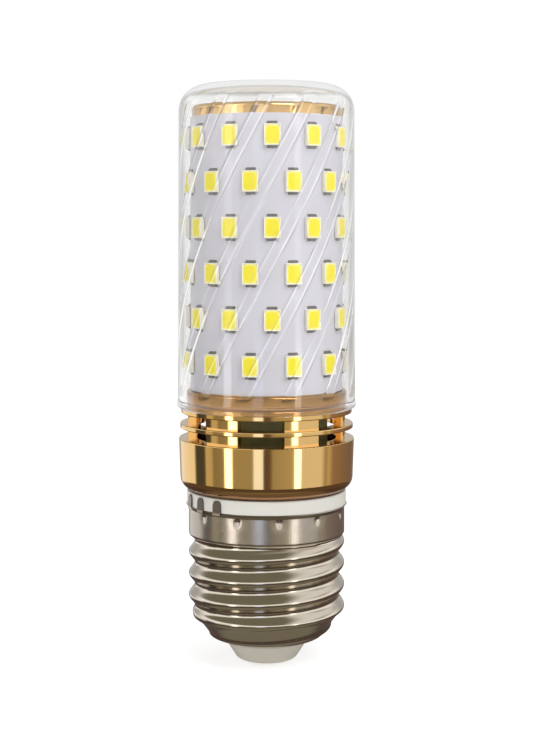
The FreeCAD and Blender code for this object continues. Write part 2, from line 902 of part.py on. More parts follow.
def main():
    """Builds every piece and writes it to its own file."""
    os.makedirs("parts", exist_ok=True)
    save("clear_cover", clear_cover())
    save("light_column", column())
    save("light_board", light_board())
    for row in range(chip_rows):
        label = "_row_" + str(row + 1)
        save("light_chips" + label, chip_row(chip_body(), row))
        save("phosphor" + label, chip_row(chip_cup(chip_fill_drop), row))
        save("chip_solder" + label, chip_row(solder_fillets(), row))
    save("vented_housing", housing())
    save("cap_collar", collar())
    save("screw_shell", screw_shell())
    save("cap_insulator", insulator())
    save("centre_contact", centre_contact())
    save("driver_board", driver_board())
    save("smoothing_capacitor", smoothing_capacitor())
    save("bridge_rectifier", bridge_rectifier())
    save("current_regulators", current_regulators())
    save("chip_resistors", chip_resistors())
    save("fuse_resistor", fuse_resistor())
    save("live_wire", live_wire())
    save("neutral_wire", neutral_wire())
    low_angle, high_angle = wire_hole_angles()
    save("supply_wire_positive", supply_wire(low_angle))
    save("supply_wire_negative", supply_wire(high_angle))


main()
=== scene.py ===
"""Looks of a corn LED bulb: detailed pieces, finishes, light and camera round the packed frame.

Lengths are in metres. Angles about the bulb's axis are in degrees, counted from the front (-Y)
and positive towards +X.
"""

import logging
import math
from dataclasses import dataclass, field
from enum import Enum
from typing import Callable, Optional, Sequence, Union

import bpy
from mathutils import Matrix, Vector

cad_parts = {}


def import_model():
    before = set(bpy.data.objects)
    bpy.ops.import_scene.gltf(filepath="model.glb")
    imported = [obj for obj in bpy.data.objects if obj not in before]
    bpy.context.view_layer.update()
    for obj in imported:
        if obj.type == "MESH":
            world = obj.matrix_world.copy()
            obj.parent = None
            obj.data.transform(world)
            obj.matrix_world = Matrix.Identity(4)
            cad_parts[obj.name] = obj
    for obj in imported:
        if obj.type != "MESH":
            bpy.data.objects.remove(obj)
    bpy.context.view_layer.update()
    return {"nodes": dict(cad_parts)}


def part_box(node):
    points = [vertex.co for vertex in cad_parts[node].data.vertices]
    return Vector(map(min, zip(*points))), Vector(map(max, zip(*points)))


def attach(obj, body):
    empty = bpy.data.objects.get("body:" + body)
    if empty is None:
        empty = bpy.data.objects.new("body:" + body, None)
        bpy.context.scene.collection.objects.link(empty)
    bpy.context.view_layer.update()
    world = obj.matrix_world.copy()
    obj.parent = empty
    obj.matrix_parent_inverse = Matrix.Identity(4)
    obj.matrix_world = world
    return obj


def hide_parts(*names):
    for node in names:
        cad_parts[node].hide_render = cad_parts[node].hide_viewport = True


LOG = logging.getLogger("corn_bulb")
MM = 0.001
BODY = "root"
RIM_ATTRIBUTE = "rim_share"
# Mesh attributes that mark where painted highlight and painted shade lines go on the cover's flutes.
PAINTED_HIGHLIGHT_ATTRIBUTE = "painted_highlight_line"
PAINTED_SHADE_ATTRIBUTE = "painted_shade_line"

Colour = tuple[float, float, float]
Material = bpy.types.Material
Node = bpy.types.Node
Piece = bpy.types.Object
Socket = bpy.types.NodeSocket
Sockets = bpy.types.bpy_prop_collection
Value = Union[Socket, Colour, float]
Values = dict[Union[str, int], Value]

BLACK: Colour = (0.0, 0.0, 0.0)
AT_LEAST_ONE = 0.5


def linear(red: float, green: float, blue: float) -> Colour:
    """Turns a colour of 0 to 255 as seen on a screen into linear light.

    Args:
        red: The red part, from 0 to 255.
        green: The green part, from 0 to 255.
        blue: The blue part, from 0 to 255.

    Returns:
        The three parts in linear light, from 0 to 1.
    """
    parts = []
    for value in (red / 255, green / 255, blue / 255):
        low = value / 12.92
        high = ((value + 0.055) / 1.055) ** 2.4
        parts.append(low if value <= 0.04045 else high)
    return tuple(parts)


def polar(radius: float, angle: float, z: float) -> Vector:
    """Finds a point round the bulb's axis.

    Args:
        radius: Distance from the axis.
        angle: Degrees from the front, positive towards +X.
        z: Height.

    Returns:
        The point in the frame.
    """
    turn = math.radians(angle)
    return Vector((radius * math.sin(turn), -radius * math.cos(turn), z))


def smoothstep(low: float, high: float, value: float) -> float:
    """Rises smoothly from 0 at low to 1 at high.

    Args:
        low: Where the rise starts.
        high: Where it ends.
        value: Where it is read.

    Returns:
        A share from 0 to 1.
    """
    t = min(max((value - low) / (high - low), 0.0), 1.0)
    return t * t * (3 - 2 * t)


class Layer(Enum):
    """The shared node groups."""

    MOTTLE = "soft_mottle"
    MARKS = "turning_marks"
    GRAIN = "moulded_grain"
    HANDLING = "handling_marks"


class Sheet:
    """A node tree with short calls to fill it."""

    def __init__(self, tree: bpy.types.NodeTree) -> None:
        """Takes the tree to fill."""
        self.tree = tree

    @property
    def shader(self) -> Node:
        """The shader that a new material starts with."""
        return self.tree.nodes["Principled BSDF"]

    def fill(self, node: Node, values: Values) -> None:
        """Gives inputs of a node a socket, a colour or a number each.

        Args:
            node: The node.
            values: The values by the input's name or place.
        """
        for name, value in values.items():
            if isinstance(value, Socket):
                self.tree.links.new(value, node.inputs[name])
            elif isinstance(value, tuple):
                node.inputs[name].default_value = (*value, 1.0)
            else:
                node.inputs[name].default_value = value

    def add(self, kind: str, values: Optional[Values] = None, **settings: object) -> Node:
        """Adds a node, sets its properties and fills its inputs.

        Args:
            kind: The node's type name.
            values: The values by the input's name or place.
            settings: Property names and values.

        Returns:
            The new node.
        """
        node = self.tree.nodes.new(kind)
        for name, value in settings.items():
            setattr(node, name, value)
        self.fill(node, values or {})
        return node

    def maths(self, operation: str, *values: Value) -> Socket:
        """Adds a Math node and returns its output."""
        return self.add("ShaderNodeMath", dict(enumerate(values)), operation=operation).outputs[0]

    def axes(self, point: Socket) -> Sockets:
        """Splits a point into x, y and z."""
        return self.add("ShaderNodeSeparateXYZ", {0: point}).outputs

    def object_point(self) -> Socket:
        """Returns the Object coordinates."""
        return self.add("ShaderNodeTexCoord").outputs["Object"]

    def scaled(self, colour: Socket, factor: Value) -> Socket:
        """Multiplies a colour by a number."""
        return self.add("ShaderNodeVectorMath", {0: colour, "Scale": factor}, operation="SCALE").outputs[0]

    def noise(self, point: Socket, scale: Value, detail: float, roughness: float = 0.5,
              along: bool = False) -> Socket:
        """Adds a noise pattern.

        Args:
            point: Where it is read.
            scale: Cells to a metre.
            detail: Octaves.
            roughness: How much the finer octaves count.
            along: Whether it is read along a line, with a number for its point.

        Returns:
            The pattern's value, from 0 to 1.
        """
        place, size = ("W", "1D") if along else ("Vector", "3D")
        values = {place: point, "Scale": scale, "Detail": detail, "Roughness": roughness}
        return self.add("ShaderNodeTexNoise", values, noise_dimensions=size).outputs["Fac"]

    def rise(self, value: Socket, start: float, end: float) -> Socket:
        """Rises smoothly from 0 at start to 1 at end, which may be the lower of the two.

        Args:
            value: Where it is read.
            start: Where it is 0.
            end: Where it is 1.

        Returns:
            The share.
        """
        first, last = (0.0, 1.0) if start < end else (1.0, 0.0)
        values = {"Value": value, "From Min": min(start, end), "From Max": max(start, end),
                  "To Min": first, "To Max": last}
        return self.add("ShaderNodeMapRange", values, interpolation_type="SMOOTHSTEP").outputs[0]

    def blend(self, share: Socket, colour: Value, other: Value) -> Socket:
        """Blends two colours.

        Args:
            share: 0 for the first colour, 1 for the other.
            colour: The first colour.
            other: The other colour.

        Returns:
            The blend.
        """
        return self.add("ShaderNodeMix", {"Factor": share, 6: colour, 7: other}, data_type="RGBA").outputs[2]

    def bump(self, height: Socket, depth: float) -> None:
        """Feeds the shader's normal with a height.

        Args:
            height: The height, from 0 to 1.
            depth: What a height of 1 stands for, in metres.
        """
        node = self.add("ShaderNodeBump", {"Height": height, "Distance": depth, "Strength": 1.0})
        self.fill(self.shader, {"Normal": node.outputs["Normal"]})


@dataclass
class Groups:
    """The node groups that several finishes share, built once."""

    mottle_detail: float = 4.0
    mark_detail: float = 2.0
    ring_share: float = 0.6
    grain_detail: float = 5.0
    smudge_detail: float = 6.0
    smudge_roughness: float = 0.65
    trees: dict[Layer, bpy.types.NodeTree] = field(init=False)

    def __post_init__(self) -> None:
        """Builds every group."""
        self.trees = {
            Layer.MOTTLE: self._mottle(),
            Layer.MARKS: self._marks(),
            Layer.GRAIN: self._grain(),
            Layer.HANDLING: self._handling(),
        }

    @staticmethod
    def _start(layer: Layer, output: str, *inputs: str) -> tuple[Sheet, Sockets, Node]:
        """Makes an empty group with its sockets.

        Args:
            layer: Which group it is.
            output: The output's name.
            inputs: The inputs' names.

        Returns:
            The sheet, the sockets of the input node and the output node.
        """
        kinds = {"Point": "NodeSocketVector", "Colour": "NodeSocketColor"}
        tree = bpy.data.node_groups.new(layer.value, "ShaderNodeTree")
        for name, side in [*((name, "INPUT") for name in inputs), (output, "OUTPUT")]:
            kind = kinds.get(name, "NodeSocketFloat")
            tree.interface.new_socket(name=name, in_out=side, socket_type=kind)
        sheet = Sheet(tree)
        return sheet, sheet.add("NodeGroupInput").outputs, sheet.add("NodeGroupOutput")

    def _mottle(self) -> bpy.types.NodeTree:
        """Colour that drifts a little lighter and darker over the surface."""
        sheet, given, result = self._start(Layer.MOTTLE, "Colour", "Point", "Colour", "Scale", "Amount")
        drift = sheet.noise(given["Point"], given["Scale"], self.mottle_detail)
        swing = sheet.maths("MULTIPLY_ADD", drift, 2.0, -1.0)
        gain = sheet.maths("MULTIPLY_ADD", swing, given["Amount"], 1.0)
        sheet.fill(result, {"Colour": sheet.scaled(given["Colour"], gain)})
        return sheet.tree

    def _marks(self) -> bpy.types.NodeTree:
        """Fine rings that a lathe tool leaves, as a height."""
        sheet, given, result = self._start(Layer.MARKS, "Height", "Point", "Rings", "Streaks")
        x, y, z = sheet.axes(given["Point"])
        turn = sheet.maths("ARCTAN2", x, y)
        rings = sheet.noise(z, given["Rings"], self.mark_detail, along=True)
        streaks = sheet.noise(turn, given["Streaks"], self.mark_detail, along=True)
        sheet.fill(result, {"Height": sheet.maths("MULTIPLY_ADD", rings, self.ring_share, streaks)})
        return sheet.tree

    def _grain(self) -> bpy.types.NodeTree:
        """The fine skin of a moulded piece, as a height."""
        sheet, given, result = self._start(Layer.GRAIN, "Height", "Point", "Scale")
        sheet.fill(result, {"Height": sheet.noise(given["Point"], given["Scale"], self.grain_detail)})
        return sheet.tree

    def _handling(self) -> bpy.types.NodeTree:
        """Roughness that varies with smudges and faint rubbed patches."""
        inputs = ("Point", "Roughness", "Scale", "Amount")
        sheet, given, result = self._start(Layer.HANDLING, "Roughness", *inputs)
        smudges = sheet.noise(given["Point"], given["Scale"], self.smudge_detail, self.smudge_roughness)
        swing = sheet.maths("MULTIPLY_ADD", smudges, 2.0, -1.0)
        shift = sheet.maths("MULTIPLY_ADD", swing, given["Amount"], given["Roughness"])
        sheet.fill(result, {"Roughness": sheet.add("ShaderNodeClamp", {"Value": shift}).outputs[0]})
        return sheet.tree

    def place(self, sheet: Sheet, layer: Layer, **values: Value) -> Socket:
        """Puts a shared group into a material, on its Object coordinates.

        Args:
            sheet: The material's sheet.
            layer: Which group.
            values: Input names and their numbers or colours.

        Returns:
            The group's output.
        """
        values["Point"] = sheet.object_point()
        return sheet.add("ShaderNodeGroup", values, node_tree=self.trees[layer]).outputs[0]


@dataclass(frozen=True)
class Surface:
    """What every finish has: a colour, and a roughness that handling has varied.

    Args:
        name: The material's name.
        colour: Its base colour in linear light.
        roughness: Its mean roughness.
        smudge: How much its roughness varies.
        smudge_scale: Cells of that to a metre.
    """

    name: str
    colour: Colour
    roughness: float = 0.4
    smudge: float = 0.04
    smudge_scale: float = 250.0

    def build(self, groups: Groups) -> Material:
        """Makes the material.

        Args:
            groups: The shared node groups.

        Returns:
            The finished material.
        """
        material = bpy.data.materials.new(self.name)
        material.use_nodes = True
        sheet = Sheet(material.node_tree)
        rub = groups.place(sheet, Layer.HANDLING, Roughness=self.roughness, Scale=self.smudge_scale,
                           Amount=self.smudge)
        sheet.fill(sheet.shader, {"Roughness": rub})
        self.paint(sheet, groups)
        return material

    def paint(self, sheet: Sheet, groups: Groups) -> None:
        """Adds what this kind of finish has of its own.

        Args:
            sheet: The material's sheet.
            groups: The shared node groups.
        """
        raise NotImplementedError


@dataclass(frozen=True)
class Finish(Surface):
    """How one material of the bulb looks.

    Args:
        metallic: 1 for bare metal.
        mottle: How much its colour drifts.
        mottle_scale: Cells of that drift to a metre.
        grain_scale: Cells of its skin to a metre, or 0 for none.
        grain_depth: How deep that skin is, in metres.
        rings: Turning marks to a metre, or 0 for none.
        streaks: Streaks round the axis.
        ring_depth: How deep those marks are, in metres.
    """

    metallic: float = 0.0
    mottle: float = 0.03
    mottle_scale: float = 300.0
    grain_scale: float = 0.0
    grain_depth: float = 0.00001
    rings: float = 0.0
    streaks: float = 0.0
    ring_depth: float = 0.0

    def paint(self, sheet: Sheet, groups: Groups) -> None:
        """Adds the drifting colour, and the skin or the turning marks as bump.

        Args:
            sheet: The material's sheet.
            groups: The shared node groups.
        """
        tone = groups.place(sheet, Layer.MOTTLE, Colour=self.colour, Scale=self.mottle_scale,
                            Amount=self.mottle)
        sheet.fill(sheet.shader, {"Base Color": tone, "Metallic": self.metallic})
        if self.rings > 0:
            marks = groups.place(sheet, Layer.MARKS, Rings=self.rings, Streaks=self.streaks)
            sheet.bump(marks, self.ring_depth)
        elif self.grain_scale > 0:
            sheet.bump(groups.place(sheet, Layer.GRAIN, Scale=self.grain_scale), self.grain_depth)


@dataclass(frozen=True)
class ShadeZone:
    """A band above some height whose colour paints shade there, or gives the plain colour back.

    Args:
        start: The height.
        colour: The colour above it, a painted-shade colour or the plain one.
        rougher: How much rougher it is there.
    """

    start: float
    colour: Colour
    rougher: float = 0.0


@dataclass(frozen=True)
class PaintedShadeFinish(Finish):
    """Plating darkened at some heights as painted shade, whose polish can change there too.

    Args:
        shade_zones: Its bands of painted shade, from the lowest up.
        blur: How far a change reaches below and above its height.
    """

    shade_zones: tuple[ShadeZone, ...] = ()
    blur: float = 0.1 * MM

    def paint(self, sheet: Sheet, groups: Groups) -> None:
        """Adds the bands of painted shade to the plain finish.

        Args:
            sheet: The material's sheet.
            groups: The shared node groups.
        """
        super().paint(sheet, groups)
        height = sheet.axes(sheet.object_point())["Z"]
        rough = sheet.shader.inputs["Roughness"].links[0].from_socket
        tone = sheet.shader.inputs["Base Color"].links[0].from_socket
        for zone in self.shade_zones:
            share = sheet.rise(height, zone.start - self.blur, zone.start + self.blur)
            # Each band adds its extra roughness and blends in its painted-shade colour.
            rough = sheet.maths("MULTIPLY_ADD", share, zone.rougher, rough)
            tone = sheet.blend(share, tone, zone.colour)
        sheet.fill(sheet.shader, {"Roughness": rough, "Base Color": tone})


@dataclass(frozen=True)
class ClearFinish(Surface):
    """Clear moulded plastic that lets lamps through, with painted highlight and painted shade lines along its
    flutes' edges.

    Args:
        ior: Its refractive index.
        passes: Bounces of a ray after which it runs straight on.
        painted_shade_line: Its tint along the dark side of a flute's edge.
        painted_highlight_line: The light that the bright side of a flute's edge gives.
        fade_scale: Cells to a metre of the pattern that fades those lines.
        fade_edges: Where in that pattern a line starts and where it is whole.
    """

    roughness: float = 0.02
    smudge: float = 0.015
    smudge_scale: float = 120.0
    ior: float = 1.47
    passes: float = 5.5
    painted_shade_line: Colour = (0.4, 0.38, 0.4)
    painted_highlight_line: Colour = (0.24, 0.24, 0.25)
    fade_scale: float = 110.0
    fade_edges: tuple[float, float] = (0.36, 0.66)

    def paint(self, sheet: Sheet, groups: Groups) -> None:
        """Adds the clear plastic, the painted highlight and painted shade lines along the flutes' edges, and
        the straight way for shadow rays and spent rays.

        Args:
            sheet: The material's sheet.
            groups: The shared node groups.
        """
        # Painted shade lines darken the Base Color and painted highlight lines glow through the Emission.
        sheet.fill(sheet.shader, {
            "Base Color": self._painted_line(sheet, PAINTED_SHADE_ATTRIBUTE, self.colour, self.painted_shade_line),
            "Metallic": 0.0,
            "Transmission Weight": 1.0,
            "IOR": self.ior,
            "Emission Color": self._painted_line(sheet, PAINTED_HIGHLIGHT_ATTRIBUTE, BLACK, self.painted_highlight_line),
            "Emission Strength": 1.0,
        })
        clear = sheet.add("ShaderNodeBsdfTransparent", {"Color": self.colour})
        rays = sheet.add("ShaderNodeLightPath").outputs
        spent = sheet.maths("GREATER_THAN", rays["Ray Depth"], self.passes)
        straight = sheet.maths("MAXIMUM", rays["Is Shadow Ray"], spent)
        mix = sheet.add("ShaderNodeMixShader", {0: straight, 1: sheet.shader.outputs[0], 2: clear.outputs[0]})
        sheet.fill(sheet.tree.nodes["Material Output"], {"Surface": mix.outputs[0]})

    def _painted_line(self, sheet: Sheet, attribute: str, plain: Colour, marked: Colour) -> Socket:
        """Paints the highlight lines or the shade lines that an attribute marks, fading along their length.

        Args:
            sheet: The material's sheet.
            attribute: The attribute, from 0 to 1.
            plain: The colour away from the lines.
            marked: The painted highlight or painted shade colour on them.

        Returns:
            The colour.
        """
        mark = sheet.add("ShaderNodeAttribute", attribute_name=attribute).outputs["Fac"]
        fade = sheet.rise(sheet.noise(sheet.object_point(), self.fade_scale, 1.0), *self.fade_edges)
        return sheet.blend(sheet.maths("MULTIPLY", mark, fade), plain, marked)


@dataclass(frozen=True)
class PhosphorFinish(Finish):
    """Yellow resin that goes paler where it thins out against the cup's wall.

    Args:
        pale: The colour at its rim.
        specular: How strongly it mirrors.
    """

    roughness: float = 0.5
    smudge: float = 0.05
    smudge_scale: float = 900.0
    mottle: float = 0.05
    mottle_scale: float = 1500.0
    grain_scale: float = 4200.0
    pale: Colour = linear(240, 231, 136)
    specular: float = 0.2

    def paint(self, sheet: Sheet, groups: Groups) -> None:
        """Adds the paler rim to the plain finish.

        Args:
            sheet: The material's sheet.
            groups: The shared node groups.
        """
        super().paint(sheet, groups)
        rim = sheet.add("ShaderNodeAttribute", attribute_name=RIM_ATTRIBUTE).outputs["Fac"]
        deep = sheet.shader.inputs["Base Color"].links[0].from_socket
        sheet.fill(sheet.shader, {"Base Color": sheet.blend(rim, deep, self.pale),
                                  "Specular IOR Level": self.specular})


CLEAR_PLASTIC = ClearFinish("clear_plastic", (0.94, 0.942, 0.94))
GOLD = Finish("gold_plate", linear(216, 178, 116), roughness=0.07, metallic=1.0, mottle=0.03,
              mottle_scale=180.0, smudge=0.025, smudge_scale=350.0, rings=5200.0, streaks=60.0,
              ring_depth=0.0000012)
# Painted shade on the vented housing: darker, redder gold below 30.5 mm on its foot, plain gold above, and
# darker gold above 42.8 mm on its neck under the cover.
SHADED_GOLD = PaintedShadeFinish(**{**vars(GOLD), "name": "gold_plate_painted_shade", "colour": (0.46, 0.25, 0.12)},
                        shade_zones=(ShadeZone(30.5 * MM, GOLD.colour), ShadeZone(42.8 * MM, (0.38, 0.2, 0.06))))
# Painted shade on the shell: the skirt above 21.9 mm is darker, and rougher too, and the claws above the rim
# at 26.8 mm are darker still.
SHADED_NICKEL = PaintedShadeFinish("nickel_plate_painted_shade", linear(186, 177, 163), roughness=0.14, metallic=1.0, mottle=0.06,
                     mottle_scale=260.0, smudge=0.06, smudge_scale=420.0, rings=3800.0, streaks=90.0,
                     ring_depth=0.000003,
                     shade_zones=(ShadeZone(21.9 * MM, (0.4, 0.35, 0.29), 0.1), ShadeZone(26.8 * MM, (0.16, 0.135, 0.12))))
BOARD = Finish("white_solder_mask", linear(194, 192, 200), roughness=0.42, mottle=0.1,
               mottle_scale=110.0, grain_scale=3500.0)
CHIP_WHITE = Finish("chip_white", linear(232, 227, 208), roughness=0.35, mottle=0.02,
                    grain_scale=5000.0, grain_depth=0.000005)
# Partly painted shade: dull solder, its colour darkened further to stand for the shade round the chip bodies.
SHADED_SOLDER = Finish("dull_solder_painted_shade", linear(120, 116, 112), roughness=0.38, metallic=1.0, mottle=0.12,
                mottle_scale=2500.0, grain_scale=2600.0, grain_depth=0.00002)
COLLAR_WHITE = Finish("collar_white", linear(200, 198, 190), roughness=0.42, mottle=0.02,
                      grain_scale=1800.0)
# Partly painted shade: the insulator's greyish white is darkened because its cone faces down towards the
# floor.
SHADED_INSULATOR = Finish("insulator_grey_painted_shade", linear(182, 176, 164), roughness=0.38, mottle=0.05,
                        mottle_scale=500.0, grain_scale=1500.0, grain_depth=0.00002)
CONTACT_METAL = Finish("contact_metal", linear(198, 192, 180), roughness=0.32, metallic=1.0, mottle=0.06,
                       grain_scale=2500.0, grain_depth=0.000008)
BOARD_GREEN = Finish("driver_green", linear(196, 184, 112), roughness=0.35, mottle=0.12, mottle_scale=900.0,
                     grain_scale=3000.0)
CAN_BLACK = Finish("can_sleeve", linear(34, 36, 40), roughness=0.3, mottle=0.08, grain_scale=1500.0)
MOULD_BLACK = Finish("black_mould", linear(30, 30, 31), roughness=0.5, mottle=0.1, grain_scale=4000.0,
                     grain_depth=0.00002)
RESISTOR = Finish("resistor_coat", linear(120, 160, 172), roughness=0.4, mottle=0.06, grain_scale=3000.0)
WIRE_RED = Finish("wire_red", linear(176, 40, 32), roughness=0.4, mottle=0.05, grain_scale=2500.0)
WIRE_WHITE = Finish("wire_white", linear(226, 226, 222), roughness=0.4, mottle=0.03, grain_scale=2500.0)
PHOSPHOR = PhosphorFinish("phosphor_resin", linear(232, 217, 0))


class Bench:
    """Modelling calls that every sub-assembly uses."""

    @staticmethod
    def clear_selection() -> None:
        """Leaves object mode's selection empty."""
        if bpy.context.object is not None and bpy.context.object.mode != "OBJECT":
            bpy.ops.object.mode_set(mode="OBJECT")
        bpy.ops.object.select_all(action="DESELECT")

    @classmethod
    def pick(cls, *pieces: Piece) -> None:
        """Selects some pieces only.

        Args:
            pieces: The pieces, of which the first becomes active.
        """
        cls.clear_selection()
        for piece in pieces:
            piece.select_set(True)
        bpy.context.view_layer.objects.active = pieces[0]

    @classmethod
    def wrapped_grid(cls, name: str, columns: int, rows: int,
                     place: Callable[[float, float], Vector]) -> Piece:
        """Bends a flat grid into a closed sleeve and welds its seam.

        Args:
            name: The piece's name.
            columns: Cells round the axis.
            rows: Cells along it.
            place: Gives a point for two shares from 0 to 1, round and along.

        Returns:
            The sleeve, with its faces outwards.
        """
        cls.clear_selection()
        bpy.ops.mesh.primitive_grid_add(x_subdivisions=columns, y_subdivisions=rows, size=2.0)
        sleeve = bpy.context.object
        sleeve.name = name
        sleeve.data.name = name
        for vertex in sleeve.data.vertices:
            vertex.co = place((vertex.co.x + 1) / 2, (vertex.co.y + 1) / 2)
        cls.tidy(sleeve)
        return sleeve

    @classmethod
    def tidy(cls, piece: Piece, distance: float = 0.00001) -> None:
        """Welds doubles and turns faces outwards.

        Args:
            piece: The piece.
            distance: How near two points are to be one.
        """
        cls.pick(piece)
        bpy.ops.object.mode_set(mode="EDIT")
        bpy.ops.mesh.select_all(action="SELECT")
        bpy.ops.mesh.remove_doubles(threshold=distance)
        bpy.ops.mesh.normals_make_consistent(inside=False)
        bpy.ops.object.mode_set(mode="OBJECT")

    @classmethod
    def apply(cls, piece: Piece, kind: str, **settings: object) -> None:
        """Adds a modifier and applies it.

        Args:
            piece: The piece.
            kind: The modifier's type.
            settings: Its properties.
        """
        cls.pick(piece)
        modifier = piece.modifiers.new(kind.lower(), kind)
        for name, value in settings.items():
            setattr(modifier, name, value)
        bpy.ops.object.modifier_apply(modifier=modifier.name)

    @classmethod
    def select(cls, piece: Piece, kind: str, wanted: Callable[[object], bool]) -> None:
        """Enters edit mode with only the wanted points or faces selected.

        Args:
            piece: The piece.
            kind: VERT for points or FACE for faces.
            wanted: True for a point or face to select.
        """
        cls.pick(piece)
        bpy.ops.object.mode_set(mode="EDIT")
        bpy.ops.mesh.select_mode(type=kind)
        bpy.ops.mesh.select_all(action="DESELECT")
        bpy.ops.object.mode_set(mode="OBJECT")
        for element in piece.data.vertices if kind == "VERT" else piece.data.polygons:
            element.select = wanted(element)
        bpy.ops.object.mode_set(mode="EDIT")

    @classmethod
    def face_front(cls, piece: Piece) -> None:
        """Turns a sheet's faces towards the front where they look back."""
        if piece.data.polygons[0].normal.y > 0:
            piece.data.flip_normals()

    @classmethod
    def face_out(cls, piece: Piece) -> None:
        """Turns an open sleeve's faces away from the axis where they look at it.

        Args:
            piece: The sleeve.
        """
        outward = sum(face.normal.x * face.center.x + face.normal.y * face.center.y
                      for face in piece.data.polygons)
        if outward < 0:
            piece.data.flip_normals()

    @classmethod
    def smooth(cls, piece: Piece, angle: float) -> None:
        """Shades a piece smooth, with edges kept where faces turn by more than an angle."""
        cls.pick(piece)
        bpy.ops.object.shade_smooth_by_angle(angle=math.radians(angle))

    @classmethod
    def merge(cls, pieces: Sequence[Piece], name: str) -> Piece:
        """Joins pieces into one.

        Args:
            pieces: The pieces.
            name: The joined piece's name.

        Returns:
            The joined piece.
        """
        cls.pick(*pieces)
        bpy.ops.object.join()
        merged = bpy.context.object
        merged.name = name
        merged.data.name = name
        return merged

    @classmethod
    def ring_of(cls, source: Piece, name: str, angles: Sequence[float], lift: float) -> Piece:
        """Copies a piece round the axis and joins the copies.

        Args:
            source: The piece at the front, which is used up.
            name: The joined piece's name.
            angles: Degrees from the front, one for each copy.
            lift: How far the copies are raised.

        Returns:
            The joined copies.
        """
        copies = []
        for angle in angles:
            copy = source.copy()
            copy.data = source.data.copy()
            bpy.context.scene.collection.objects.link(copy)
            turn = Matrix.Rotation(math.radians(angle), 4, "Z")
            copy.data.transform(Matrix.Translation((0, 0, lift)) @ turn)
            copies.append(copy)
        bpy.data.objects.remove(source)
        return cls.merge(copies, name)

    @staticmethod
    def dress(piece: Piece, material: Material) -> None:
        """Gives a piece one material."""
        piece.data.materials.clear()
        piece.data.materials.append(material)

    @classmethod
    def seat(cls, piece: Piece, material: Material, slot: str, *nodes: str) -> None:
        """Dresses a new piece, puts it on the bulb and lets it stand for its nodes.

        Args:
            piece: The piece.
            material: Its finish.
            slot: Not used.
            nodes: The nodes that it stands for.
        """
        cls.dress(piece, material)
        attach(piece, BODY)
        if nodes:
            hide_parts(*nodes)
        LOG.info("%s: %d faces", piece.name, len(piece.data.polygons))


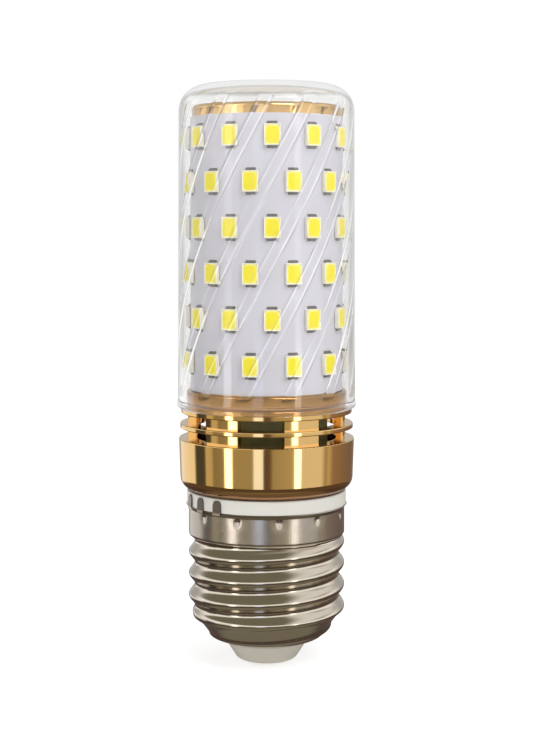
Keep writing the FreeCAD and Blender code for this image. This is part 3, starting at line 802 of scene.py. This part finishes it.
@dataclass
class ScrewShell:
    """The rolled metal shell: rim, skirt with crimp dimples, thread, nose and claws.

    Args:
        cone_slope: How much the nose rises for each step outwards.
        dimple_tail: How much of the height counts below a dimple's middle, which draws it out.
        dimple_zone: Height of the band below the rim that has rows of its own.
        thread_rows: Share of the rows that the thread gets.
        crowding: How strongly columns gather at the dimples.
        run_out: How far the thread still shows on the nose.
        claw_corner: How round a claw's upper corners are, as a share of its half.
    """

    groups: Groups
    foot: float
    crest: float = 13.1 * MM
    root: float = 12.1 * MM
    pitch: float = 3.629 * MM
    crest_drop: float = 7.2 * MM
    wall: float = 0.3 * MM
    skirt_height: float = 4.7 * MM
    flare: float = 0.4 * MM
    flare_height: float = 0.5 * MM
    height: float = 23.0 * MM
    mouth: float = 7.0 * MM
    bend_radius: float = 9.6 * MM
    bend_height: float = 0.95 * MM
    cone_slope: float = 1.3
    dimples: int = 12
    dimple_angle: float = 9.0
    dimple_drop: float = 1.05 * MM
    dimple_size: float = 0.5 * MM
    dimple_tail: float = 0.42
    dimple_depth: float = 0.22 * MM
    dent_size: float = 1.9 * MM
    dent_depth: float = 0.05 * MM
    dimple_zone: float = 3.2 * MM
    crowding: float = 1.35
    flare_power: float = 1.5
    run_out: float = 0.55 * MM
    run_out_start: float = 0.5 * MM
    run_out_end: float = 1.6 * MM
    run_out_power: int = 3
    mouth_blend: float = 0.5 * MM
    nose_blend: float = 0.35 * MM
    claw_angles: tuple[float, ...] = (-36.5, -53.0, -69.0)
    claw_width: float = 6.5
    claw_height: float = 2.15 * MM
    claw_radius: float = 13.375 * MM
    claw_root: float = 0.25 * MM
    claw_lean: float = 0.08 * MM
    claw_corner: float = 0.75
    claw_corner_cuts: int = 6
    claw_cuts: int = 3
    thread_rows: float = 0.8
    columns: int = 288
    rows: int = 156
    smooth_angle: float = 40.0

    @property
    def rim(self) -> float:
        """Height of the shell's upper edge."""
        return self.foot + self.height

    def radius(self, angle: float, z: float) -> float:
        """Finds the shell's outer radius.

        Args:
            angle: Degrees from the front.
            z: Height.

        Returns:
            The radius there.
        """
        phase = 2 * math.pi * (z - self.rim + self.crest_drop) / self.pitch - math.radians(angle)
        ridge = 0.5 + 0.5 * math.cos(phase)
        wave = self.root + (self.crest - self.root) * ridge
        top = self.rim - self.skirt_height
        body = wave + (self.crest - wave) * smoothstep(top - self.pitch / 4, top, z)
        bend = self.foot + self.bend_height
        cone = self.bend_radius + (z - bend) / self.cone_slope
        fade = smoothstep(self.foot + self.run_out_start, self.foot + self.run_out_end, z)
        cone += self.run_out * (ridge ** self.run_out_power - 0.5) * fade
        lip = self.mouth + (self.bend_radius - self.mouth) * (z - self.foot) / self.bend_height
        nose = self._softer(cone, lip, self.mouth_blend)
        open_share = max(0.0, (z - self.rim + self.flare_height) / self.flare_height)
        flare = self.flare * open_share ** self.flare_power
        return self._softer(body, nose, self.nose_blend) + flare - self._dent(angle, z)

    @staticmethod
    def _softer(first: float, second: float, blend: float) -> float:
        """Takes the smaller of two radii, rounded where they meet."""
        share = min(max(0.5 + 0.5 * (second - first) / blend, 0.0), 1.0)
        return second + (first - second) * share - blend * share * (1 - share)

    def _dent(self, angle: float, z: float) -> float:
        """How far the crimping punches press the skirt in.

        Args:
            angle: Degrees from the front.
            z: Height.

        Returns:
            The depth there.
        """
        step = 360 / self.dimples
        offset = (angle - self.dimple_angle + step / 2) % step - step / 2
        across = math.radians(offset) * self.crest
        up = z - (self.rim - self.dimple_drop)
        stretch = 1.0 if up > 0 else self.dimple_tail
        punch = self.dimple_depth * (1 - smoothstep(0.0, self.dimple_size, math.hypot(across, up * stretch)))
        return punch + self.dent_depth * (1 - smoothstep(0.0, self.dent_size, math.hypot(across, up)))

    def _place(self, around: float, along: float) -> Vector:
        """Puts a grid point on the shell, with columns crowded at the dimples and rows at the skirt.

        Args:
            around: Share of the way round, from 0 to 1.
            along: Share of the way up, from 0 to 1.

        Returns:
            The point.
        """
        step = 360 / self.dimples
        cell, inside = divmod(around * self.dimples, 1.0)
        place = 2 * inside - 1
        angle = self.dimple_angle + step * cell + math.copysign(abs(place) ** self.crowding, place) * step / 2
        if along < self.thread_rows:
            z = self.foot + (self.height - self.dimple_zone) * along / self.thread_rows
        else:
            z = self.rim - self.dimple_zone * (1 - along) / (1 - self.thread_rows)
        return polar(self.radius(angle, z), angle, z)

    def _claw(self, angle: float) -> Piece:
        """Makes one finger that rises from the rim.

        Args:
            angle: Where it stands, in degrees from the front.

        Returns:
            The finger.
        """
        Bench.clear_selection()
        bpy.ops.mesh.primitive_plane_add(size=2.0)
        claw = bpy.context.object
        Bench.select(claw, "VERT", lambda vertex: vertex.co.y > 0)
        bpy.ops.mesh.bevel(offset=self.claw_corner, segments=self.claw_corner_cuts, affect="VERTICES")
        bpy.ops.mesh.select_all(action="SELECT")
        bpy.ops.mesh.subdivide(number_cuts=self.claw_cuts)
        bpy.ops.object.mode_set(mode="OBJECT")
        half = self.claw_width / 2
        low = self.rim - self.claw_root
        for vertex in claw.data.vertices:
            turn = angle + vertex.co.x * half
            z = low + (vertex.co.y + 1) / 2 * (self.claw_height + self.claw_root)
            lean = self.claw_lean * smoothstep(low, low + self.claw_height, z)
            vertex.co = polar(self.claw_radius + self.wall - lean, turn, z)
        Bench.tidy(claw)
        Bench.face_out(claw)
        Bench.apply(claw, "SOLIDIFY", thickness=self.wall, offset=-1.0)
        return claw

    def build(self) -> Piece:
        """Models the shell and puts it on the bulb.

        Returns:
            The shell.
        """
        shell = Bench.wrapped_grid("rolled_shell", self.columns, self.rows, self._place)
        Bench.face_out(shell)
        Bench.apply(shell, "SOLIDIFY", thickness=self.wall, offset=-1.0)
        claws = [self._claw(angle) for angle in self.claw_angles]
        shell = Bench.merge([shell, *claws], "rolled_shell")
        Bench.smooth(shell, self.smooth_angle)
        Bench.seat(shell, SHADED_NICKEL.build(self.groups), "nickel", "screw_shell")
        return shell


@dataclass
class ClearCover:
    """The clear moulded cover: a domed tube with twisted flutes on its inside.

    Args:
        twist: Degrees that the flutes turn for each metre of height.
        twist_angle: Where the first flute stands at the twist height.
        line_start: How far below the top the flutes' painted highlight and shade lines start to fade.
        line_end: How far below it they have faded out.
        side_share: Share of the bore's radius within which no flute stands.
        edge_cells: Share of a flute's columns that stand on the flute itself.
        crowding: How strongly they gather at its edges.
        cells: Columns for each flute and its gap.
    """

    groups: Groups
    top: float
    foot: float
    twist_height: float
    top_radius: float = 14.65 * MM
    foot_radius: float = 14.85 * MM
    bead_radius: float = 14.98 * MM
    bead_height: float = 0.75 * MM
    lip_radius: float = 14.25 * MM
    corner_round: float = 4.2 * MM
    bore_radius: float = 13.93 * MM
    ceiling_wall: float = 1.0 * MM
    inner_round: float = 2.8 * MM
    flutes: int = 12
    flute_width: float = 2.0 * MM
    flute_height: float = 0.11 * MM
    flute_edge: float = 0.7 * MM
    line_width: float = 0.28 * MM
    flute_foot: float = 3.6 * MM
    flute_run_out: float = 1.2 * MM
    twist: float = 2.2 / MM
    twist_angle: float = -1.9
    line_start: float = 3.6 * MM
    line_end: float = 2.4 * MM
    bore_slack: float = 0.01 * MM
    side_share: float = 0.9
    crown_share: float = 0.5
    ceiling_share: float = 0.4
    edge_cells: float = 0.36
    crowding: float = 1.6
    smooth_angle: float = 50.0
    cells: int = 26
    inner_rows: int = 96
    side_rows: int = 40
    round_rows: int = 10

    def profile(self) -> list[tuple[float, float]]:
        """Walks down the outside from the top's middle, round the foot and up the inside.

        Returns:
            Radius and height of each ring.
        """
        steps = self.round_rows
        turns = [math.pi / 2 * n / steps for n in range(steps + 1)]
        centre = self.top_radius - self.corner_round
        crown = self.top - self.corner_round
        rings = [(0.0, self.top), (centre * self.crown_share, self.top)]
        for turn in turns:
            rings.append((centre + self.corner_round * math.sin(turn),
                          crown + self.corner_round * math.cos(turn)))
        side_foot = self.foot + 2 * self.bead_height
        for n in range(1, self.side_rows + 1):
            share = n / self.side_rows
            rings.append((self.top_radius + (self.foot_radius - self.top_radius) * share,
                          crown + (side_foot - crown) * share))
        for n in range(1, steps + 1):
            share = n / steps
            swell = math.sin(math.pi * share / 2) ** 2
            rings.append((self.foot_radius + (self.bead_radius - self.foot_radius) * swell,
                          side_foot - self.bead_height * share))
        for turn in turns[1:]:
            rings.append((self.lip_radius + (self.bead_radius - self.lip_radius) * math.cos(turn),
                          self.foot + self.bead_height * (1 - math.sin(turn))))
        rings.append((self.bore_radius, self.foot))
        ceiling = self.top - self.ceiling_wall
        dome = ceiling - self.inner_round
        for n in range(1, self.inner_rows + 1):
            rings.append((self.bore_radius, self.foot + (dome - self.foot) * n / self.inner_rows))
        for turn in turns[1:]:
            rings.append((self.bore_radius - self.inner_round * (1 - math.cos(turn)),
                          dome + self.inner_round * math.sin(turn)))
        rings.append((self.bore_radius * self.ceiling_share, ceiling))
        rings.append((0.0, ceiling))
        return rings

    def _cell_offset(self, share: float) -> float:
        """Crowds the columns of one flute at its two edges.

        Args:
            share: Place in the cell, from 0 to 1.

        Returns:
            Degrees from the flute's middle.
        """
        pitch = 360 / self.flutes
        edge = math.degrees(self.flute_width / 2 / self.bore_radius)
        place = 2 * share - 1
        side = math.copysign(1.0, place)
        near = abs(place)
        if near < self.edge_cells:
            local = near / self.edge_cells
            return side * edge * (1 - (1 - local) ** self.crowding)
        local = (near - self.edge_cells) / (1 - self.edge_cells)
        return side * (edge + (pitch / 2 - edge) * local ** self.crowding)

    def _rise(self, offset: float, z: float) -> float:
        """How far a flute stands in from the bore.

        Args:
            offset: Degrees from its middle.
            z: Height.

        Returns:
            The height of the flute there.
        """
        across = abs(math.radians(offset)) * self.bore_radius
        half = self.flute_width / 2
        shape = 1 - smoothstep(half - self.flute_edge / 2, half + self.flute_edge / 2, across)
        start = self.foot + self.flute_foot
        end = self.top - self.ceiling_wall - self.inner_round
        fade = smoothstep(start - self.flute_run_out, start, z)
        fade *= 1 - smoothstep(end, end + self.flute_run_out, z)
        return self.flute_height * shape * fade

    def _mark_painted_lines(self, cover: Piece) -> None:
        """Marks where the painted highlight and the painted shade lie along each flute's edge.

        Args:
            cover: The cover.
        """
        pale = cover.data.attributes.new(PAINTED_HIGHLIGHT_ATTRIBUTE, "FLOAT", "POINT")
        painted_shade_mark = cover.data.attributes.new(PAINTED_SHADE_ATTRIBUTE, "FLOAT", "POINT")
        pitch = 360 / self.flutes
        foot = self.foot + self.flute_foot
        for index, vertex in enumerate(cover.data.vertices):
            x, y, z = vertex.co
            if math.hypot(x, y) > self.bore_radius + self.bore_slack or z < foot:
                continue
            turn = math.degrees(math.atan2(x, -y)) - self.twist_angle - self.twist * (z - self.twist_height)
            offset = (turn + pitch / 2) % pitch - pitch / 2
            past = abs(math.radians(offset)) * self.bore_radius - self.flute_width / 2
            fade = smoothstep(foot, foot + self.flute_run_out, z)
            fade *= 1 - smoothstep(self.top - self.line_start, self.top - self.line_end, z)
            # Painted highlight on the flute's side of its edge, painted shade on the gap's side.
            pale.data[index].value = fade * self._bump(past + self.line_width / 2, self.line_width)
            painted_shade_mark.data[index].value = fade * self._bump(past - self.line_width / 2, self.line_width)

    @staticmethod
    def _bump(value: float, width: float) -> float:
        """Rises from 0 to 1 and falls again within a width either side of 0."""
        return 1 - smoothstep(0.0, width, abs(value))

    def build(self) -> Piece:
        """Models the cover and puts it on the bulb.

        Returns:
            The cover.
        """
        rings = self.profile()
        inner_start = len(rings) - (self.inner_rows + self.round_rows + 3)
        columns = self.flutes * self.cells
        last = len(rings) - 1

        def place(around: float, along: float) -> Vector:
            """Puts a grid point on the cover.

            Args:
                around: Share of the way round, from 0 to 1.
                along: Share of the way along the profile, from 0 to 1.

            Returns:
                The point.
            """
            column = round(around * columns)
            row = round(along * last)
            radius, z = rings[row]
            cell, inside = divmod(column, self.cells)
            offset = self._cell_offset(inside / self.cells)
            angle = self.twist_angle + cell * 360 / self.flutes + offset
            angle += self.twist * (z - self.twist_height)
            if row > inner_start and radius > self.bore_radius * self.side_share:
                radius -= self._rise(offset, z)
            return polar(radius, angle, z)

        cover = Bench.wrapped_grid("clear_cover_shell", columns, last, place)
        self._mark_painted_lines(cover)
        Bench.smooth(cover, self.smooth_angle)
        Bench.seat(cover, CLEAR_PLASTIC.build(self.groups), "clear_plastic", "clear_cover")
        return cover


@dataclass
class LightChips:
    """Six staggered rows of light chips: white bodies with a cup of yellow resin.

    Args:
        front_normal: What a front face's normal stays below along Y.
        pool_corner: Power of the curve of a pool's corners, where more is squarer.
        pale_start: Share of the way to a pool's rim at which it starts to go paler.
    """

    groups: Groups
    rows: int = 6
    columns: int = 12
    first_angle: float = 3.9
    stagger: float = -15.0
    width: float = 2.62 * MM
    height: float = 3.4 * MM
    depth: float = 0.7 * MM
    base: float = 12.755 * MM
    wall: float = 0.16 * MM
    cup_depth: float = 0.22 * MM
    cup_draft: float = 0.1 * MM
    edge: float = 0.07 * MM
    edge_cuts: int = 2
    front_normal: float = -0.9
    pool_drop: float = 0.04 * MM
    pool_dome: float = 0.03 * MM
    pool_corner: float = 4.5
    pool_overlap: float = 0.01 * MM
    pool_cells: tuple[int, int] = (10, 12)
    pale_start: float = 0.78
    bevel_angle: float = 40.0
    pool_smooth: float = 60.0

    def _body(self) -> Piece:
        """Models one white body at the front, with its drafted cup.

        Returns:
            The body, its middle at height 0.
        """
        Bench.clear_selection()
        bpy.ops.mesh.primitive_cube_add(size=1.0, location=(0.0, -self.base - self.depth / 2, 0.0))
        body = bpy.context.object
        body.scale = (self.width, self.depth, self.height)
        bpy.ops.object.transform_apply(location=True, rotation=True, scale=True)
        Bench.select(body, "FACE", lambda face: face.normal.y < self.front_normal)
        bpy.ops.mesh.inset(thickness=self.wall, depth=0.0)
        bpy.ops.mesh.extrude_region_move(TRANSFORM_OT_translate={"value": (0.0, self.cup_depth, 0.0)})
        shrink = 1 - 2 * self.cup_draft / self.width
        bpy.ops.transform.resize(value=(shrink, 1.0, shrink))
        bpy.ops.object.mode_set(mode="OBJECT")
        Bench.apply(body, "BEVEL", width=self.edge, segments=self.edge_cuts, limit_method="ANGLE",
                    angle_limit=math.radians(self.bevel_angle))
        Bench.smooth(body, self.bevel_angle)
        return body

    def _pool(self) -> Piece:
        """Models one pool of resin, with round corners and a slight dome.

        Returns:
            The pool, its middle at height 0.
        """
        Bench.clear_selection()
        wide_cells, tall_cells = self.pool_cells
        bpy.ops.mesh.primitive_grid_add(x_subdivisions=wide_cells, y_subdivisions=tall_cells, size=2.0)
        pool = bpy.context.object
        wide = self.width / 2 - self.wall + self.pool_overlap
        tall = self.height / 2 - self.wall + self.pool_overlap
        share = pool.data.attributes.new(RIM_ATTRIBUTE, "FLOAT", "POINT")
        for index, vertex in enumerate(pool.data.vertices):
            across, up = vertex.co.x, vertex.co.y
            away = max(abs(across), abs(up))
            if away > 0:
                power = self.pool_corner
                curve = away / (abs(across) ** power + abs(up) ** power) ** (1 / power)
                across *= curve
                up *= curve
            share.data[index].value = smoothstep(self.pale_start, 1.0, away)
            front = self.base + self.depth - self.pool_drop + self.pool_dome * (1 - away ** 2)
            vertex.co = Vector((across * wide, -front, up * tall))
        Bench.face_front(pool)
        Bench.apply(pool, "SOLIDIFY", thickness=self.cup_depth / 2, offset=-1.0)
        Bench.smooth(pool, self.pool_smooth)
        return pool

    def build(self) -> None:
        """Models every row and puts it on the bulb."""
        white = CHIP_WHITE.build(self.groups)
        yellow = PHOSPHOR.build(self.groups)
        for row in range(self.rows):
            node = f"light_chips_row_{row + 1}"
            low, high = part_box(node)
            start = self.first_angle + (row % 2) * self.stagger
            angles = [start + 360 * n / self.columns for n in range(self.columns)]
            lift = (low[2] + high[2]) / 2
            bodies = Bench.ring_of(self._body(), f"chip_bodies_row_{row + 1}", angles, lift)
            Bench.seat(bodies, white, "chip_white", node)
            pools = Bench.ring_of(self._pool(), f"resin_pools_row_{row + 1}", angles, lift)
            Bench.seat(pools, yellow, "phosphor", f"phosphor_row_{row + 1}")


@dataclass
class CarriedNodes:
    """The nodes whose own shape is right, each with its finish."""

    groups: Groups
    finishes: dict[str, Finish] = field(default_factory=lambda: {
        "light_column": GOLD,
        "vented_housing": SHADED_GOLD,
        "light_board": BOARD,
        "cap_collar": COLLAR_WHITE,
        "cap_insulator": SHADED_INSULATOR,
        "centre_contact": CONTACT_METAL,
        "driver_board": BOARD_GREEN,
        "smoothing_capacitor": CAN_BLACK,
        "bridge_rectifier": MOULD_BLACK,
        "current_regulators": MOULD_BLACK,
        "chip_resistors": MOULD_BLACK,
        "fuse_resistor": RESISTOR,
        "live_wire": WIRE_RED,
        "neutral_wire": WIRE_WHITE,
        "supply_wire_positive": WIRE_RED,
        "supply_wire_negative": WIRE_WHITE,
        "chip_solder": SHADED_SOLDER,
    })

    def build(self, nodes: dict[str, Piece]) -> None:
        """Dresses every node that is still shown.

        Args:
            nodes: The frame's nodes by name.
        """
        made: dict[str, Material] = {}
        for name, node in nodes.items():
            family = name.split("_row_")[0]
            finish = self.finishes.get(family)
            if finish is None or node.hide_render:
                continue
            if finish.name not in made:
                made[finish.name] = finish.build(self.groups)
            Bench.dress(node, made[finish.name])
            LOG.info("%s keeps its form", name)


class Tint(Enum):
    """Colours of the surround that polished metal mirrors."""

    PLAIN = (1.0, 1.0, 1.0)
    WARM = (1.0, 0.92, 0.68)
    RUST = (1.0, 0.74, 0.64)
    COOL = (0.62, 0.72, 1.0)

    def at(self, level: float) -> Colour:
        """Gives the tint at a brightness."""
        return tuple(level * part for part in self.value)


@dataclass(frozen=True)
class Edge:
    """The edge of a tall soft strip, from which the brightness runs evenly to the next edge's.

    Args:
        angle: Where it stands round the bulb.
        level: The brightness there.
        tint: The tint there.
    """

    angle: float
    level: float
    tint: Tint = Tint.PLAIN


@dataclass(frozen=True)
class Veil:
    """A part of the surround above or below some height that covers the strips.

    Args:
        start: The direction's height at which it starts, from -1 below to 1 above.
        end: The height at which it is whole.
        most: How much of the strips it covers there.
        level: Its brightness.
        tint: Its tint.
    """

    start: float
    end: float
    most: float
    level: float
    tint: Tint


@dataclass(frozen=True)
class Lamp:
    """A soft square lamp that metal doesn't mirror.

    Args:
        name: Its name.
        spot: Where it hangs.
        size: Its side.
        power: Its power in watts.
    """

    name: str
    spot: tuple[float, float, float]
    size: float
    power: float

    def build(self, target: Vector) -> None:
        """Hangs the lamp.

        Args:
            target: What it points at.
        """
        light = bpy.data.lights.new(self.name, "AREA")
        light.shape = "SQUARE"
        light.size = self.size
        light.energy = self.power
        lamp = bpy.data.objects.new(self.name, light)
        bpy.context.scene.collection.objects.link(lamp)
        lamp.location = self.spot
        lamp.rotation_mode = "QUATERNION"
        lamp.rotation_quaternion = (target - Vector(self.spot)).to_track_quat("-Z", "Y")
        lamp.visible_glossy = False


@dataclass
class Studio:
    """Floor, light and camera.

    Heights, lefts and rights of what metal mirrors are parts of a direction, from -1 to 1.

    Args:
        floor_whole: Share of the floor's radius within which it is solid.
        floor_gone: Share past which it has faded out.
        soft_level: Brightness of the surround for rays that have scattered.
        spent: Bounces of a ray after which it sees plain white.
        neck_edges: Heights between which the metal under the cover mirrors a darker foot.
        neck_share: How much of the strips that foot covers.
        neck_level: Its brightness.
        top_share: How much fainter the veils are, higher up, for metal under the cover.
        patch_left: Where a soft light patch at the right starts.
        patch_right: Where it ends.
        patch_foot: Heights at which it starts.
        patch_level: Its brightness.
        rear_edges: Where a pale wall behind the bulb starts.
        rear_level: Its brightness.
        ground: What stands for the lit floor.
        veils: What else covers the strips, in order.
        edges: The edges of the strips, from behind the bulb round its front to behind again.
    """

    sensor: float = 36.0
    lens: float = 72.02
    camera_distance: float = 250.0 * MM
    camera_height: float = 72.3 * MM
    clip_start: float = 5.0 * MM
    pitch: float = 2.0
    shift_y: float = -0.1208
    floor_radius: float = 0.9
    floor_sides: int = 96
    floor_colour: Colour = (0.5, 0.5, 0.5)
    floor_roughness: float = 0.9
    floor_glow: float = 0.65
    floor_whole: float = 0.15
    floor_gone: float = 0.9
    soft_level: float = 0.8
    spent: float = 6.5
    neck_edges: tuple[float, float] = (0.06, 0.02)
    neck_share: float = 0.8
    neck_level: float = 0.2
    top_share: float = 0.4
    patch_left: tuple[float, float] = (0.3, 0.6)
    patch_right: tuple[float, float] = (0.97, 0.75)
    patch_foot: tuple[float, float] = (0.3, 0.45)
    patch_level: float = 1.25
    rear_edges: tuple[float, float] = (0.35, 0.8)
    rear_level: float = 0.62
    lamp_target: float = 50.0 * MM
    lamps: tuple[Lamp, ...] = (
        Lamp("key_light", (0.25, -0.45, 0.55), 0.35, 2.3),
        Lamp("fill_light", (-0.5, -0.35, 0.3), 0.5, 0.6),
    )
    ground: Veil = Veil(-0.1, -0.04, 0.85, 1.75, Tint.PLAIN)
    veils: tuple[Veil, ...] = (
        Veil(0.32, 0.45, 1.0, 0.28, Tint.WARM),
        Veil(-0.235, -0.3, 1.0, 0.13, Tint.RUST),
        Veil(-0.62, -0.8, 0.85, 0.32, Tint.WARM),
    )
    edges: tuple[Edge, ...] = (
        Edge(-180.0, 0.35, Tint.WARM),
        Edge(-158.0, 0.5),
        Edge(-150.0, 1.2),
        Edge(-110.0, 1.2),
        Edge(-106.0, 0.1),
        Edge(-89.0, 0.1),
        Edge(-86.0, 0.75, Tint.WARM),
        Edge(-77.0, 0.7, Tint.WARM),
        Edge(-73.0, 0.35, Tint.WARM),
        Edge(-57.0, 0.42, Tint.WARM),
        Edge(-55.5, 4.6),
        Edge(-46.5, 4.6),
        Edge(-45.0, 0.5, Tint.WARM),
        Edge(-18.0, 0.5, Tint.WARM),
        Edge(-16.4, 2.3, Tint.COOL),
        Edge(-5.0, 2.3, Tint.COOL),
        Edge(-3.5, 0.15, Tint.RUST),
        Edge(4.5, 0.19, Tint.RUST),
        Edge(9.0, 0.5, Tint.WARM),
        Edge(33.0, 0.62, Tint.WARM),
        Edge(36.5, 0.8),
        Edge(37.5, 4.6),
        Edge(45.0, 4.6),
        Edge(46.5, 1.0),
        Edge(77.0, 1.0),
        Edge(84.0, 0.45, Tint.WARM),
        Edge(90.0, 0.7, Tint.WARM),
        Edge(98.0, 0.4, Tint.RUST),
        Edge(125.0, 0.3, Tint.RUST),
        Edge(150.0, 0.22, Tint.RUST),
        Edge(180.0, 0.35, Tint.WARM),
    )

    def _floor(self) -> None:
        """A wide pale floor that fades into the white round it."""
        Bench.clear_selection()
        radius = self.floor_radius
        bpy.ops.mesh.primitive_circle_add(vertices=self.floor_sides, radius=radius, fill_type="TRIFAN")
        floor = bpy.context.object
        floor.name = "studio_floor"
        material = bpy.data.materials.new("floor_white")
        material.use_nodes = True
        sheet = Sheet(material.node_tree)
        away = sheet.add("ShaderNodeVectorMath", {0: sheet.object_point()}, operation="LENGTH")
        sheet.fill(sheet.shader, {
            "Base Color": self.floor_colour,
            "Roughness": self.floor_roughness,
            "Emission Color": Tint.PLAIN.value,
            "Emission Strength": self.floor_glow,
            "Alpha": sheet.rise(away.outputs["Value"], radius * self.floor_gone, radius * self.floor_whole),
        })
        Bench.dress(floor, material)
        floor.visible_glossy = False

    def _world(self) -> None:
        """A white surround for the camera, and one with strips and veils that polished metal mirrors.

        A ray that has come through the cover counts as mirrored only after a mirror reflection, and
        a ray that has bounced too often sees plain white.
        """
        world = bpy.data.worlds.new("studio")
        bpy.context.scene.world = world
        world.use_nodes = True
        world.node_tree.nodes.clear()
        sheet = Sheet(world.node_tree)
        rays = sheet.add("ShaderNodeLightPath").outputs
        through = rays["Is Transmission Ray"]
        mirror = sheet.maths("GREATER_THAN", rays["Glossy Depth"], AT_LEAST_ONE)
        scattered = sheet.maths("GREATER_THAN", rays["Diffuse Depth"], AT_LEAST_ONE)
        clean = sheet.maths("SUBTRACT", 1.0, scattered)
        behind = sheet.maths("MULTIPLY", sheet.maths("MULTIPLY", through, mirror), clean)
        shiny = sheet.maths("MAXIMUM", rays["Is Glossy Ray"], behind)
        soft = sheet.maths("SUBTRACT", 1.0, shiny)
        lit = sheet.blend(soft, self._mirrored(sheet, behind), Tint.PLAIN.at(self.soft_level))
        direct = sheet.maths("MULTIPLY", sheet.maths("SUBTRACT", through, behind), clean)
        spent = sheet.maths("GREATER_THAN", rays["Ray Depth"], self.spent)
        seen = sheet.maths("MAXIMUM", rays["Is Camera Ray"], sheet.maths("MAXIMUM", direct, spent))
        glow = sheet.add("ShaderNodeBackground", {"Color": sheet.blend(seen, lit, Tint.PLAIN.value)})
        sheet.add("ShaderNodeOutputWorld", {"Surface": glow.outputs[0]})

    def _mirrored(self, sheet: Sheet, behind: Socket) -> Socket:
        """Builds the surround that polished metal mirrors.

        Args:
            sheet: The world's sheet.
            behind: 1 for metal that is seen through the cover, where the veils are fainter.

        Returns:
            Its colour.
        """
        x, y, z = sheet.axes(sheet.add("ShaderNodeTexCoord").outputs["Generated"])
        low = sheet.rise(z, *self.neck_edges)
        neck = sheet.maths("MULTIPLY", sheet.maths("MULTIPLY", behind, low), self.neck_share)
        colour = sheet.blend(neck, self._side_strips(sheet, x, y), Tint.WARM.at(self.neck_level))
        fainter = sheet.maths("MULTIPLY_ADD", low, 1.0 - self.top_share, self.top_share)
        bare = sheet.maths("SUBTRACT", 1.0, sheet.maths("MULTIPLY", behind, fainter))
        ground = sheet.rise(z, self.ground.start, self.ground.end)
        for veil in (self.ground, *self.veils):
            share = sheet.maths("MULTIPLY", sheet.rise(z, veil.start, veil.end), veil.most)
            colour = sheet.blend(sheet.maths("MULTIPLY", share, bare), colour, veil.tint.at(veil.level))
        side = sheet.maths("MULTIPLY", sheet.rise(x, *self.patch_left), sheet.rise(x, *self.patch_right))
        patch = sheet.maths("MULTIPLY", side, sheet.rise(z, *self.patch_foot))
        colour = sheet.blend(patch, colour, Tint.PLAIN.at(self.patch_level))
        rear = sheet.maths("MULTIPLY", sheet.rise(y, *self.rear_edges), ground)
        return sheet.blend(rear, colour, Tint.PLAIN.at(self.rear_level))

    def _side_strips(self, sheet: Sheet, x: Socket, y: Socket) -> Socket:
        """Sets the strips side by side round the bulb.

        Args:
            sheet: The world's sheet.
            x: The direction's part along X.
            y: The direction's part along Y.

        Returns:
            Their colour.
        """
        turn = sheet.maths("ARCTAN2", x, sheet.maths("MULTIPLY", y, -1.0))
        ramp = sheet.add("ShaderNodeValToRGB", {"Fac": sheet.maths("MULTIPLY_ADD", turn, 0.5 / math.pi, 0.5)})
        ramp.color_ramp.interpolation = "LINEAR"
        brightest = max(edge.level for edge in self.edges)
        stops = ramp.color_ramp.elements
        ready = len(stops)
        for index, edge in enumerate(self.edges):
            position = (edge.angle + 180) / 360
            stop = stops[index] if index < ready else stops.new(position)
            stop.position = position
            stop.color = (*edge.tint.at(edge.level / brightest), 1.0)
        return sheet.scaled(ramp.outputs["Color"], brightest)

    def _camera(self) -> None:
        """Sets the camera at the photograph's place, turned down a little."""
        camera = bpy.data.cameras.new("studio_camera")
        camera.sensor_width = self.sensor
        camera.lens = self.lens
        camera.shift_y = self.shift_y
        camera.clip_start = self.clip_start
        rig = bpy.data.objects.new("studio_camera", camera)
        bpy.context.scene.collection.objects.link(rig)
        rig.location = (0.0, -self.camera_distance, self.camera_height)
        rig.rotation_euler = (math.radians(90.0 - self.pitch), 0.0, 0.0)
        bpy.context.scene.camera = rig

    def build(self) -> None:
        """Sets up the whole studio."""
        self._floor()
        self._world()
        for lamp in self.lamps:
            lamp.build(Vector((0.0, 0.0, self.lamp_target)))
        self._camera()
        bpy.context.scene.view_settings.view_transform = "Standard"


def main() -> None:
    """Builds every sub-assembly in order."""
    logging.basicConfig(level=logging.INFO, format="%(name)s: %(message)s")
    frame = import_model()
    Bench.clear_selection()
    groups = Groups()
    ScrewShell(groups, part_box("screw_shell")[0][2]).build()
    foot, top = (corner[2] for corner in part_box("clear_cover"))
    ClearCover(groups, top, foot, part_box("light_column")[1][2]).build()
    LightChips(groups).build()
    CarriedNodes(groups).build(frame["nodes"])
    Studio().build()


if __name__ == "__main__":
    main()
